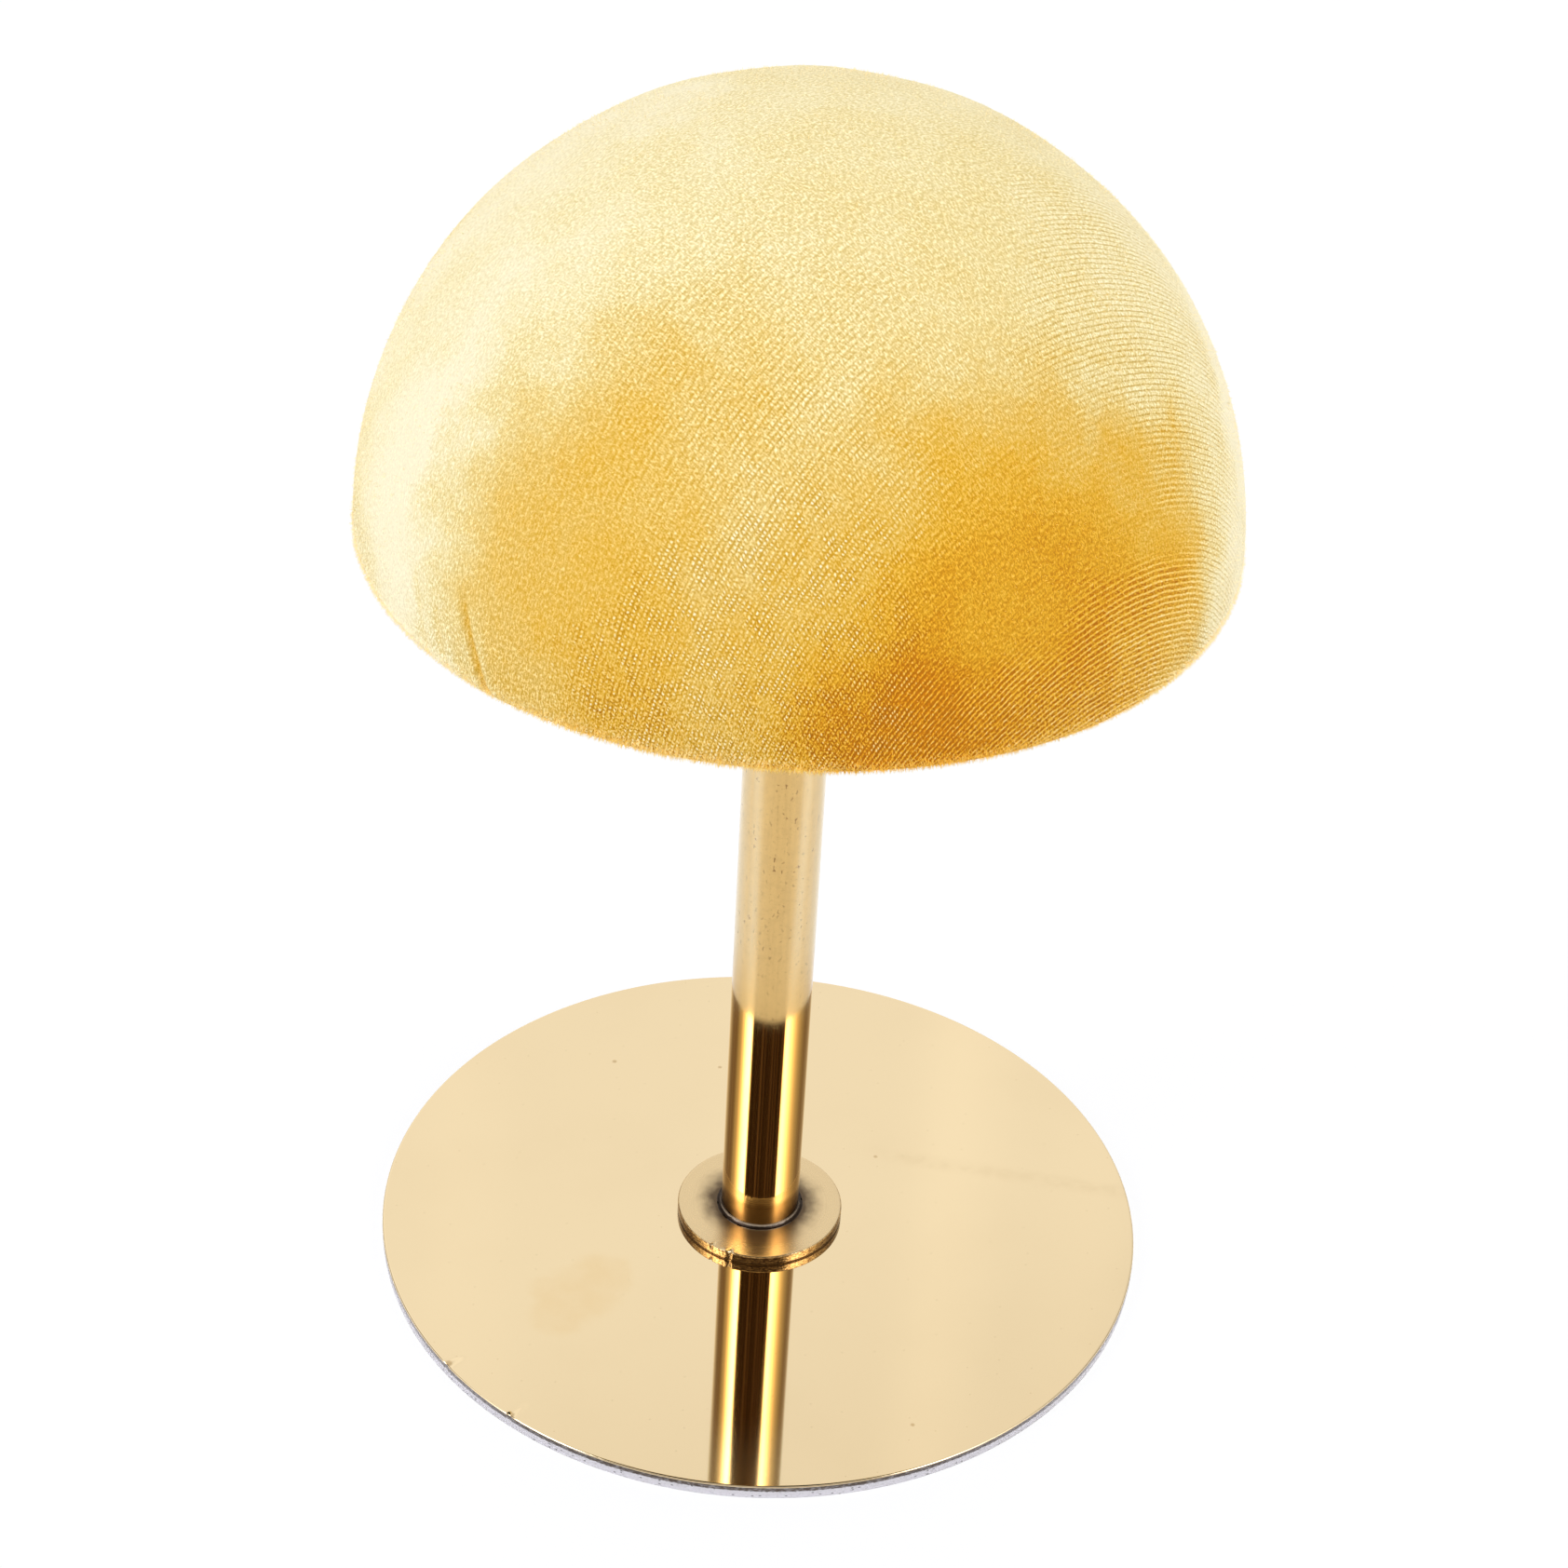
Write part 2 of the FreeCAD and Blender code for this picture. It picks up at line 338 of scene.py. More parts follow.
@dataclass(frozen=True)
class MirrorGoldPlate(Finish):
    """Gold mirror coating on the plate, with its punched edge and underside in bare steel.

    Levels and places are in millimetres. A range is the two values between which its part fades in.
    """

    gold: Colour = (0.880, 0.705, 0.438)
    stain_colour: Colour = (0.62, 0.45, 0.24)
    smudge_colour: Colour = (0.80, 0.54, 0.23)
    sheared: Colour = (0.46, 0.43, 0.40)
    # painted shade: the sheared band's colour where it faces the front
    sheared_front_shade: Colour = (0.125, 0.098, 0.075)
    broken: Colour = (0.80, 0.775, 0.765)
    pit: Colour = (0.16, 0.15, 0.14)
    rolled: Colour = (0.40, 0.395, 0.39)
    rolled_dark: Colour = (0.25, 0.245, 0.24)
    coat_edge: float = 2.76
    shear_level: float = 1.85
    underside: Range = (0.05, 0.01)
    smudge_edge: Range = (0.12, 0.9)
    smudge_raggedness: float = 0.7
    streak_slope: float = 0.16
    streak_level: float = 23.3
    streak_width: Range = (3.4, 0.3)
    streak_start: Range = (16.0, 34.0)
    worn_front: Range = (0.0, 75.0)
    sheared_shade_range: Range = (0.35, 0.97)
    coat_roughness: float = 0.03
    edge_roughness: float = 0.36
    smudges: tuple[Stain, ...] = (
        Stain(-31.5, -22.5, 9.5, 1.0),
        Stain(-35.5, -28.0, 12.0, 1.0),
        Stain(-39.5, -34.0, 8.5, 0.9),
        Stain(-40.5, -27.5, 7.5, 0.8),
    )
    specks: tuple[Stain, ...] = (
        Stain(-33.1, 45.4, 0.7, 0.9),
        Stain(-10.0, 45.3, 0.6, 0.8),
        Stain(24.2, 18.4, 0.6, 0.8),
        Stain(31.6, -59.6, 0.6, 0.8),
        Stain(-59.6, -49.3, 1.0, 1.0),
        Stain(-46.2, -62.3, 0.9, 1.0),
    )

    def shader(self, net: Net) -> Sock:
        """The coated top and the bare edge, told apart by height.

        Args:
            net: The material's nodes.

        Returns:
            The shader.
        """
        place = net.place()
        x, y, z = net.parts(place)
        flat = net.joined(x, y, 0.0)
        broad = net.noise(flat, scale=0.035, detail=3.0)
        wander = net.noise(flat, scale=0.16, detail=5.0)
        smudge: Any = 0.0
        for stain in self.smudges:
            spot = net.spot(flat, (stain.x, stain.y, 0.0), stain.radius) * stain.strength
            smudge = spot.math("MAXIMUM", smudge)
        smudge = (smudge + (wander - 0.5) * self.smudge_raggedness).smooth(*self.smudge_edge)
        smudge = smudge * (0.16 + wander.smooth(0.35, 0.7) * 0.12)
        marks: Any = 0.0
        for stain in self.specks:
            marks = net.spot(flat, (stain.x, stain.y, 0.0), stain.radius) * stain.strength + marks
        off_streak = (y + x * self.streak_slope - self.streak_level).math("ABSOLUTE")
        streak = off_streak.smooth(*self.streak_width) * x.smooth(*self.streak_start)
        streak = streak * (0.05 + net.noise(flat, scale=0.3, detail=4.0).smooth(0.35, 0.7) * 0.10)
        dust = net.specks(flat, scale=0.16, size=0.035, share=0.35) * 0.3
        worn = (x * 0.4 - y * 0.9).smooth(*self.worn_front)
        tarnish = marks + dust + streak + broad.smooth(0.40, 0.75) * 0.05 + worn * 0.2
        gold = net.mix(tarnish.math("MINIMUM", 1.0), self.gold, self.stain_colour)
        gold = net.mix(smudge, gold, self.smudge_colour)

        radius = net.vector("LENGTH", flat, out=1)
        # painted shade: the sheared band of the edge is painted darker towards the front
        front = (y * -1.0 / radius).smooth(*self.sheared_shade_range)
        scoring = net.noise(net.vector("MULTIPLY", place, (1.1, 1.1, 2.4)), scale=1.0, detail=3.0)
        grain = net.noise(place, scale=2.4, detail=4.0)
        arc = net.azimuth(x, y) * radius
        pits = net.specks(net.joined(arc * 0.6, z, 0.0), scale=1.3, size=0.26, share=0.22)
        sheared = net.mix(front, self.sheared, self.sheared_front_shade)
        sheared = net.mix(scoring.smooth(0.4, 0.75) * 0.35, sheared, self.broken)
        broken = net.mix(grain.smooth(0.50, 0.75) * 0.35, self.broken, self.sheared)
        broken = net.mix(pits * 0.8, broken, self.pit)
        lip = (z + (grain - 0.5) * 0.5).smooth(self.shear_level - 0.2, self.shear_level + 0.15)
        bare = net.mix(lip, broken, sheared)
        beneath = z.smooth(*self.underside)
        rolling = net.noise(net.joined(x * 0.10, y * 2.0, 0.0), scale=1.0, detail=4.0)
        sheet = net.mix(rolling.smooth(0.38, 0.68) * 0.6 + wander * 0.4, self.rolled, self.rolled_dark)
        bare = net.mix(beneath, bare, sheet)
        coated = z.smooth(self.coat_edge - 0.02, self.coat_edge + 0.02)
        on_coat = self.coat_roughness + (smudge * 0.5 + streak) * 0.25 + broad * 0.01
        on_edge = self.edge_roughness + (1 - lip) * 0.2 + grain * 0.1
        roughness = coated * on_coat + (1 - coated) * on_edge
        rough = (1 - beneath) * (scoring * 0.3 + (1 - lip) * (grain * 0.6 - pits)) + beneath * rolling * 0.2
        normal = net.bump((1 - coated) * rough, depth=0.08, strength=0.8)
        return net.surface(net.mix(coated, bare, gold), roughness, normal, Metallic=1.0)


@dataclass(frozen=True)
class MirrorGoldTube(Finish):
    """Gold mirror coating on the tube: handled and hazy on its upper part, with painted shade that darkens
    and browns it towards its foot, where it mirrors the washer.

    Levels are in millimetres. The film's ranges are over how far the wall is turned away, from 0 to 1.
    """

    gold: Colour = (0.80, 0.52, 0.18)
    worn: Colour = (0.28, 0.15, 0.05)
    film: Colour = (0.97, 0.89, 0.62)
    # painted shade towards the foot
    foot_shade: Colour = (0.36, 0.19, 0.05)
    radius: float = 8.0
    foot_shade_levels: Range = (12.8, 10.8)
    haze_levels: Range = (54.0, 80.0)
    handled_levels: Range = (50.0, 88.0)
    least_handled: float = 0.06
    most_worn: float = 0.9
    film_roughness: float = 0.26
    film_start: float = 0.17
    # painted highlight: the slants between which the film's bright band rises and falls
    highlight_rise: Range = (0.25, 0.32)
    highlight_fall: Range = (0.34, 0.45)

    def shader(self, net: Net) -> Sock:
        """The coating, read along the tube's unrolled wall.

        Args:
            net: The material's nodes.

        Returns:
            The shader.
        """
        x, y, z = net.parts(net.place())
        arc = net.azimuth(x, y) * self.radius
        wall = net.joined(arc, z, 0.0)
        haze = z.smooth(*self.haze_levels)
        handled = self.least_handled + z.smooth(*self.handled_levels) * (1 - self.least_handled)
        drawn = net.noise(net.joined(arc * 1.4, z * 0.05, 0.0), scale=1.0, detail=3.0)
        cloud = net.noise(wall, scale=0.5, detail=5.0)
        fine = net.noise(wall, scale=1.8, detail=3.0)
        swirl = net.vector("MULTIPLY", net.noise(wall, scale=0.9, detail=2.0, out="Color"), (1.4,) * 3)
        bent = net.vector("ADD", wall, swirl)
        along = net.vector("MULTIPLY", bent, (1.0, 0.38, 1.0))
        nicks = net.specks(along, scale=0.85, size=0.20, share=0.32)
        dots = net.specks(bent, scale=0.5, size=0.14, share=0.40)
        specks = net.specks(bent, scale=1.9, size=0.20, share=0.20)
        clump = net.noise(wall, scale=0.16, detail=3.0).smooth(0.44, 0.62)
        wear = (nicks * (0.25 + clump * 0.45) + dots * (0.15 + clump * 0.55) + specks * 0.4) * handled
        base = net.mix(wear.math("MINIMUM", self.most_worn), self.gold, self.worn)
        mottle = cloud.smooth(0.40, 0.70) * 0.09 + drawn.smooth(0.4, 0.7) * 0.10
        mottle = mottle + fine.smooth(0.5, 0.75) * 0.08
        base = net.mix(mottle * haze, base, self.worn)
        # painted shade: the wall is darker and browner towards its foot, where it mirrors the washer
        base = net.mix((z + cloud * 0.8).smooth(*self.foot_shade_levels) * 0.8, base, self.foot_shade)
        roughness = 0.04 + drawn * 0.03 + haze * (0.06 + cloud * 0.08) + wear * 0.2
        normal = net.bump(drawn * 0.6 + wear * -1.0, depth=0.01, strength=0.25)
        metal = net.surface(base, roughness, normal, Metallic=1.0)
        film = net.surface(self.film, self.film_roughness, normal, Metallic=1.0)
        aslant = net.add("LayerWeight", inputs={"Blend": 0.5}, out="Facing")
        # painted highlight: a band of the pale film at a set slant of the wall, standing for the reflection
        # of a soft box's edge
        highlight_bands = (aslant.smooth(*self.highlight_rise) - aslant.smooth(*self.highlight_fall)) * (0.12 + drawn * 0.16)
        veil = ((aslant - self.film_start) * (0.72 + drawn * 0.4)).math("MAXIMUM", 0.0)
        veil = (veil + highlight_bands) * haze
        return net.add("MixShader", inputs={0: veil, 1: metal, 2: film})


@dataclass(frozen=True)
class SatinGoldWasher(Finish):
    """Satin gold with turning marks, a heat tint round the weld that is painted darker at its left and
    right as shade, and a rough brassy rim.

    Radii and levels are in millimetres.
    """

    gold: Colour = (0.80, 0.61, 0.345)
    rim: Colour = (0.70, 0.46, 0.18)
    rim_dark: Colour = (0.20, 0.10, 0.035)
    # painted shade along the rim's foot
    contact_shade: Colour = (0.05, 0.025, 0.01)
    tint: Colour = (0.105, 0.070, 0.042)
    scratch: Colour = (0.98, 0.84, 0.52)
    rim_start: Range = (16.74, 16.94)
    contact_shade_levels: Range = (3.62, 3.27)
    tint_radii: Range = (14.6, 8.2)
    most_tint: float = 0.96
    top_level: float = 5.2
    scuff: Stain = Stain(-3.4, -14.3, 3.2, 1.0)
    most_scuffed: float = 0.9

    def shader(self, net: Net) -> Sock:
        """The turned top and the rough rim, told apart by radius.

        Args:
            net: The material's nodes.

        Returns:
            The shader.
        """
        place = net.place()
        x, y, z = net.parts(place)
        radius = net.radius(x, y)
        turning = net.noise(net.joined(radius * 5.0, 0.0, 0.0), scale=1.0, detail=2.0)
        cloud = net.noise(place, scale=0.35, detail=2.0)
        # painted shade: the heat tint round the weld is made darker at the left and right of the tube
        across = (x.math("ABSOLUTE") / radius) ** 1.5
        reach = (radius + (cloud - 0.5) * 3.0).smooth(*self.tint_radii)
        tint = reach ** 1.3 * (0.42 + across * 0.72)
        strokes = net.noise(net.joined(x * 2.2 + y * 1.3, y * 0.9 - x * 0.5, 0.0), scale=1.0, detail=2.0)
        cuts = net.spot(place, (self.scuff.x, self.scuff.y, self.top_level), self.scuff.radius)
        cuts = cuts * strokes.smooth(0.56, 0.66)
        top = net.mix(tint.math("MINIMUM", self.most_tint), self.gold, self.tint)
        top = net.mix(turning.smooth(0.35, 0.75) * 0.10, top, self.rim_dark)
        top = net.mix(cuts.math("MINIMUM", self.most_scuffed), top, self.scratch)
        arc = net.azimuth(x, y) * radius
        streaks = net.noise(net.joined(arc * 0.9, z * 3.2, 0.0), scale=1.0, detail=5.0)
        rough = net.noise(net.joined(arc, z * 1.5, 0.0), scale=2.4, detail=3.0)
        worn = (streaks * 0.5 + rough * 0.5).smooth(0.40, 0.62)
        rim = net.mix(worn, self.rim_dark, self.rim)
        # painted shade: the rim is darkened along its foot, where it meets the plate
        rim = net.mix(z.smooth(*self.contact_shade_levels) * 0.95, rim, self.contact_shade)
        on_rim = radius.smooth(*self.rim_start)
        base = net.mix(on_rim, top, rim)
        roughness = (1 - on_rim) * (0.25 + turning * 0.05 + tint * 0.1) + on_rim * (0.15 + streaks * 0.18)
        relief = on_rim * (streaks * 0.4 + rough * 0.9) + turning * 0.04 + cuts * 0.5
        return net.surface(base, roughness, net.bump(relief, depth=0.03, strength=0.6), Metallic=1.0)


@dataclass(frozen=True)
class WeldMetal(Finish):
    """Plated weld, heat-tinted, with a painted highlight: a thin silvery line at its toe, strongest at the
    front. Sizes are in millimetres.
    """

    toe_highlight: Colour = (0.60, 0.58, 0.57)
    dark: Colour = (0.035, 0.022, 0.014)
    heat: Colour = (0.44, 0.36, 0.27)
    toe_radii: Range = (8.70, 8.80)
    plated_levels: Range = (5.45, 5.75)
    highlight_front: Range = (0.55, 0.95)

    def shader(self, net: Net) -> Sock:
        """Heat-tinted metal in small patches and the painted highlight along the toe.

        Args:
            net: The material's nodes.

        Returns:
            The shader.
        """
        place = net.place()
        x, y, z = net.parts(place)
        radius = net.radius(x, y)
        scale = net.noise(place, scale=1.3, detail=3.0)
        plated = (z + (scale - 0.5) * 0.3).smooth(*self.plated_levels)
        # painted highlight: the silvery line along the toe, mostly at the front
        line = (radius + (scale - 0.5) * 0.06).smooth(*self.toe_radii)
        line = line * (0.05 + (y * -1.0 / radius).smooth(*self.highlight_front) * 0.95)
        base = net.mix(plated * (0.7 + scale * 0.3), self.dark, self.heat)
        base = net.mix(line * 0.7, base, self.toe_highlight)
        normal = net.bump(scale, depth=0.015, strength=0.4)
        return net.surface(base, 0.28 + scale * 0.12, normal, Metallic=1.0)


@dataclass(frozen=True)
class ZincSteel(Finish):
    """Blue-white zinc plating with its cloudy bloom and fine marks."""

    bright: Colour = (0.66, 0.68, 0.70)
    bloom: Colour = (0.42, 0.43, 0.42)
    stain: Colour = (0.46, 0.36, 0.22)

    def shader(self, net: Net) -> Sock:
        """Zinc with bloom and a little yellow passivation.

        Args:
            net: The material's nodes.

        Returns:
            The shader.
        """
        place = net.place()
        cloud = net.noise(place, scale=0.5, detail=4.0)
        stain = net.noise(place, scale=0.12, detail=2.0)
        base = net.mix(cloud.smooth(0.4, 0.7), self.bright, self.bloom)
        base = net.mix(stain.smooth(0.55, 0.75) * 0.35, base, self.stain)
        normal = net.bump(cloud, depth=0.03, strength=0.4)
        return net.surface(base, 0.26 + cloud * 0.16, normal, Metallic=1.0)


@dataclass(frozen=True)
class StapleWire(Finish):
    """Flattened galvanised wire with drawing lines and dull ends."""

    bright: Colour = (0.70, 0.70, 0.69)
    dull: Colour = (0.38, 0.37, 0.35)

    def shader(self, net: Net) -> Sock:
        """Wire with drawing lines.

        Args:
            net: The material's nodes.

        Returns:
            The shader.
        """
        lines = net.noise(net.vector("MULTIPLY", net.place(), (5.0, 5.0, 0.6)), scale=1.0, detail=3.0)
        base = net.mix(lines.smooth(0.4, 0.7), self.bright, self.dull)
        normal = net.bump(lines, depth=0.02, strength=0.5)
        return net.surface(base, 0.3 + lines * 0.15, normal, Metallic=1.0)


@dataclass(frozen=True)
class WhiteNylon(Finish):
    """Milky moulded nylon with turning rings where the stand's end has rubbed it."""

    milky: Colour = (0.84, 0.83, 0.79)
    rubbed: Colour = (0.62, 0.59, 0.52)

    def shader(self, net: Net) -> Sock:
        """Nylon with rub rings.

        Args:
            net: The material's nodes.

        Returns:
            The shader.
        """
        place = net.place()
        x, y, _ = net.parts(place)
        rings = net.noise(net.joined(net.radius(x, y) * 3.0, 0.0, 0.0), scale=1.0, detail=2.0)
        cloud = net.noise(place, scale=0.8, detail=3.0)
        base = net.mix(rings.smooth(0.5, 0.75) * 0.5 + cloud * 0.15, self.milky, self.rubbed)
        return net.surface(base, 0.42 + rings * 0.12, net.bump(rings, depth=0.03, strength=0.5))


@dataclass(frozen=True)
class Plywood(Finish):
    """Rotary-cut birch: long grain on the faces, and light and dark plies on the edge."""

    light: Colour = (0.76, 0.60, 0.41)
    dark: Colour = (0.50, 0.34, 0.19)
    glue: Colour = (0.24, 0.14, 0.08)
    bottom: float = 170.0
    ply: float = 1.5

    def shader(self, net: Net) -> Sock:
        """Grain and plies.

        Args:
            net: The material's nodes.

        Returns:
            The shader.
        """
        x, y, z = net.parts(net.place())
        wander = net.noise(net.joined(x * 0.03, y * 0.03, z), scale=1.0, detail=2.0)
        grain = net.noise(net.joined(x * 0.06, y * 1.6 + wander * 4.0, z), scale=1.0, detail=4.0)
        pores = net.noise(net.joined(x * 0.4, y * 6.0, z), scale=1.0, detail=1.0).smooth(0.62, 0.7)
        layer = ((z - self.bottom) / (self.ply * 2)).wave()
        line = ((z - self.bottom) / self.ply).wave().smooth(0.93, 0.99)
        base = net.mix(grain.smooth(0.3, 0.75) * 0.7 + layer * 0.2, self.light, self.dark)
        base = net.mix(pores * 0.4 + line * 0.5, base, self.glue)
        normal = net.bump(grain + pores * -0.8, depth=0.06, strength=0.5)
        return net.surface(base, 0.62 + grain * 0.15, normal)


class Pile(Enum):
    """What an area of the velvet's pile changes: how light it looks, or which of its patterns shows."""

    LAY = "lay"
    ROWS = "rows"
    TUFTS = "tufts"
    COURSES = "courses"


@dataclass(frozen=True)
class PilePatch:
    """An area where the velvet's pile lies one way.

    azimuth and elevation are its middle in degrees, azimuth from the front and positive to the right;
    reach is how far it goes, lift how much it adds, and soft the share of the reach that its edge takes.
    """

    kind: Pile
    azimuth: float
    elevation: float
    reach: float
    lift: float
    soft: float = 1.0

    def cover(self, net: Net, direction: Sock) -> Sock:
        """How far a point is inside the patch, from 0 to 1.

        Args:
            net: The material's nodes.
            direction: The point's direction from the ball's centre.

        Returns:
            1 in the middle and 0 outside.
        """
        a, e = math.radians(self.azimuth), math.radians(self.elevation)
        middle = (math.sin(a) * math.cos(e), -math.cos(a) * math.cos(e), math.sin(e))
        near = net.vector("DOT_PRODUCT", direction, middle, out=1)
        inner = math.cos(math.radians(self.reach * (1 - self.soft)))
        return near.smooth(math.cos(math.radians(self.reach)), inner)


@dataclass(frozen=True)
class GoldVelvet(Finish):
    """Stretch knit velvet: rows of tufts, brushed lighter and darker where the pile lies over.

    Levels and pitches are in millimetres. lightness is a place on the colours of stops.
    """

    centre_level: float = 170.0
    row_pitch: float = 1.02
    course_pitch: float = 0.75
    lightness: float = 0.885
    # painted light along the rim
    lit_rim_band: Range = (172.8, 171.4)
    patch_raggedness: float = 0.42
    relief_depth: float = 0.13
    stops: tuple[Stop, ...] = (
        (0.0, (0.62, 0.20, 0.003)),
        (0.22, (0.780, 0.386, 0.0148)),
        (0.34, (0.841, 0.469, 0.0364)),
        (0.48, (0.831, 0.518, 0.0945)),
        (0.62, (0.861, 0.607, 0.1733)),
        (0.74, (0.891, 0.699, 0.2794)),
        (0.86, (0.927, 0.787, 0.3936)),
        (1.0, (0.980, 0.879, 0.5730)),
    )
    patches: tuple[PilePatch, ...] = (
        PilePatch(Pile.LAY, -45.9, 37.7, 26.5, 0.117),
        PilePatch(Pile.LAY, -34.2, 17.0, 27.3, -0.304),
        PilePatch(Pile.LAY, 33.3, 11.1, 43.2, -0.505),
        PilePatch(Pile.LAY, 61.8, 7.8, 22.5, 0.133),
        PilePatch(Pile.LAY, -2.3, -8.9, 39.2, -0.373),
        PilePatch(Pile.LAY, 88.7, 20.4, 15.2, 0.182),
        PilePatch(Pile.LAY, 30.0, 40.3, 51.2, -0.144),
        PilePatch(Pile.LAY, -26.0, 36.5, 29.9, -0.176),
        PilePatch(Pile.LAY, -58.8, 16.0, 19.0, 0.163),
        PilePatch(Pile.LAY, -111.9, 36.4, 40.8, 0.091),
        PilePatch(Pile.LAY, -28.4, 40.6, 11.8, -0.151),
        PilePatch(Pile.LAY, -112.0, 70.4, 10.0, 0.069),
        PilePatch(Pile.LAY, 41.0, 37.2, 11.3, 0.090),
        PilePatch(Pile.LAY, 54.7, 34.4, 10.0, 0.145),
        PilePatch(Pile.LAY, 41.3, 66.0, 19.0, 0.045),
        PilePatch(Pile.LAY, 128.0, 14.0, 30.0, -0.30),
        PilePatch(Pile.LAY, 168.0, 30.0, 34.0, 0.14),
        PilePatch(Pile.LAY, -170.0, 6.0, 26.0, -0.30),
        PilePatch(Pile.LAY, -124.0, 30.0, 26.0, -0.22),
        PilePatch(Pile.ROWS, 94.0, 20.0, 40.0, 1.3, 0.8),
        PilePatch(Pile.ROWS, 66.0, 46.0, 24.0, 0.6),
        PilePatch(Pile.ROWS, 42.0, -1.0, 25.0, 1.1),
        PilePatch(Pile.ROWS, 21.0, -2.0, 19.0, 0.9),
        PilePatch(Pile.ROWS, 60.0, 4.0, 19.0, 0.5),
        PilePatch(Pile.ROWS, -10.0, 50.0, 28.0, 0.35),
        PilePatch(Pile.ROWS, -150.0, 20.0, 60.0, 0.6),
        PilePatch(Pile.TUFTS, -7.0, 8.0, 28.0, 1.15),
        PilePatch(Pile.TUFTS, 4.0, 34.0, 24.0, 0.4),
        PilePatch(Pile.TUFTS, 150.0, 20.0, 55.0, 0.7),
        PilePatch(Pile.COURSES, 0.0, 52.0, 48.0, 0.8),
        PilePatch(Pile.COURSES, 40.0, 40.0, 36.0, 0.5),
    )
    sheen_tint: Colour = (1.0, 0.95, 0.80)
    lift: float = 0.0
    shade: float = 0.92
    shade_limits: Range = (0.3, 1.04)

    def field(self, net: Net, direction: Sock, kind: Pile, start: Any) -> Sock:
        """What all the patches of one kind add up to.

        Args:
            net: The material's nodes.
            direction: The point's direction from the ball's centre.
            kind: The kind of patch.
            start: What there is without any patch.

        Returns:
            The sum.
        """
        total = start
        for patch in self.patches:
            if patch.kind is kind:
                total = patch.cover(net, direction) * patch.lift + total
        return total

    def shader(self, net: Net) -> Sock:
        """Rows and tufts along the cloth's own directions, over the lay of the pile.

        Args:
            net: The material's nodes.

        Returns:
            The shader.
        """
        place = net.place()
        outward = net.vector("NORMALIZE", net.vector("SUBTRACT", place, (0.0, 0.0, self.centre_level)))
        swirl = net.noise(outward, scale=4.5, detail=7.0, out="Color")
        swirl = net.vector("SUBTRACT", swirl, (0.5,) * 3)
        swirl = net.vector("MULTIPLY", swirl, (self.patch_raggedness,) * 3)
        bent = net.vector("NORMALIZE", net.vector("ADD", outward, swirl))
        upward = net.parts(outward)[2]
        # painted light: the velvet is made lighter along the rim, against the shade under the ball's edge
        rim = net.parts(place)[2].smooth(*self.lit_rim_band)
        low = upward.smooth(0.24, 0.0)
        lay = self.field(net, bent, Pile.LAY, self.lightness + self.lift)
        rows = self.field(net, bent, Pile.ROWS, 0.15).smooth(0.0, 1.0)
        tufts = self.field(net, bent, Pile.TUFTS, 0.08).smooth(0.0, 1.0)
        courses = self.field(net, bent, Pile.COURSES, 0.12).smooth(0.0, 1.0)

        cloth = net.add("UVMap", {"uv_map": CLOTH_MAP})
        u, v, _ = net.parts(cloth)
        # painted shade: the velvet is darker in the puckers' valleys and lighter on their ridges, by the
        # mark stored on the mesh
        fold = net.add("Attribute", {"attribute_name": FOLD_SHADE_MARK}, out="Fac")
        drift = net.noise(cloth, scale=0.12, detail=2.0) - 0.5
        jitter = net.noise(cloth, scale=0.8, detail=2.0) - 0.5
        row = (v / self.row_pitch + drift * 0.6 + jitter * 0.25).wave()
        course = (u / self.course_pitch + drift * 2.5 + jitter * 1.1).wave()
        seam = row.smooth(0.32, 0.02)
        ridge = row.smooth(0.45, 0.95)
        tuft = row.smooth(0.15, 0.85) * course.smooth(0.15, 0.85)
        along = net.noise(net.joined(u * 1.35, v * 2.8, 0.0), scale=1.0, detail=3.0)
        along = along.smooth(0.43, 0.64) - 0.45
        crossing = net.noise(net.joined(u * 2.8, v * 1.35, 0.0), scale=1.0, detail=3.0)
        crossing = crossing.smooth(0.43, 0.64) - 0.45
        cell = net.noise(net.joined(u * 0.8, v * 1.6, 3.0), scale=1.0, detail=2.0)
        cloud = net.noise(cloth, scale=0.07, detail=4.0) - 0.5
        mottle = net.noise(cloth, scale=0.45, detail=3.0) - 0.5
        broken = net.noise(cloth, scale=0.25, detail=4.0).smooth(0.36, 0.62)
        fleck = net.noise(net.joined(u * 1.1, v * 1.1, 6.0), scale=1.0, detail=3.0).smooth(0.42, 0.58)

        lay = lay + cloud * 0.16 + mottle * 0.12
        flip = (lay + (cell - 0.5) * 0.3).smooth(0.54, 0.70) - 0.5
        lay = lay + flip * rows * 0.10
        dark = lay.smooth(0.66, 0.40)
        light_rows = 0.26 - seam + (course - 0.5) * 0.25
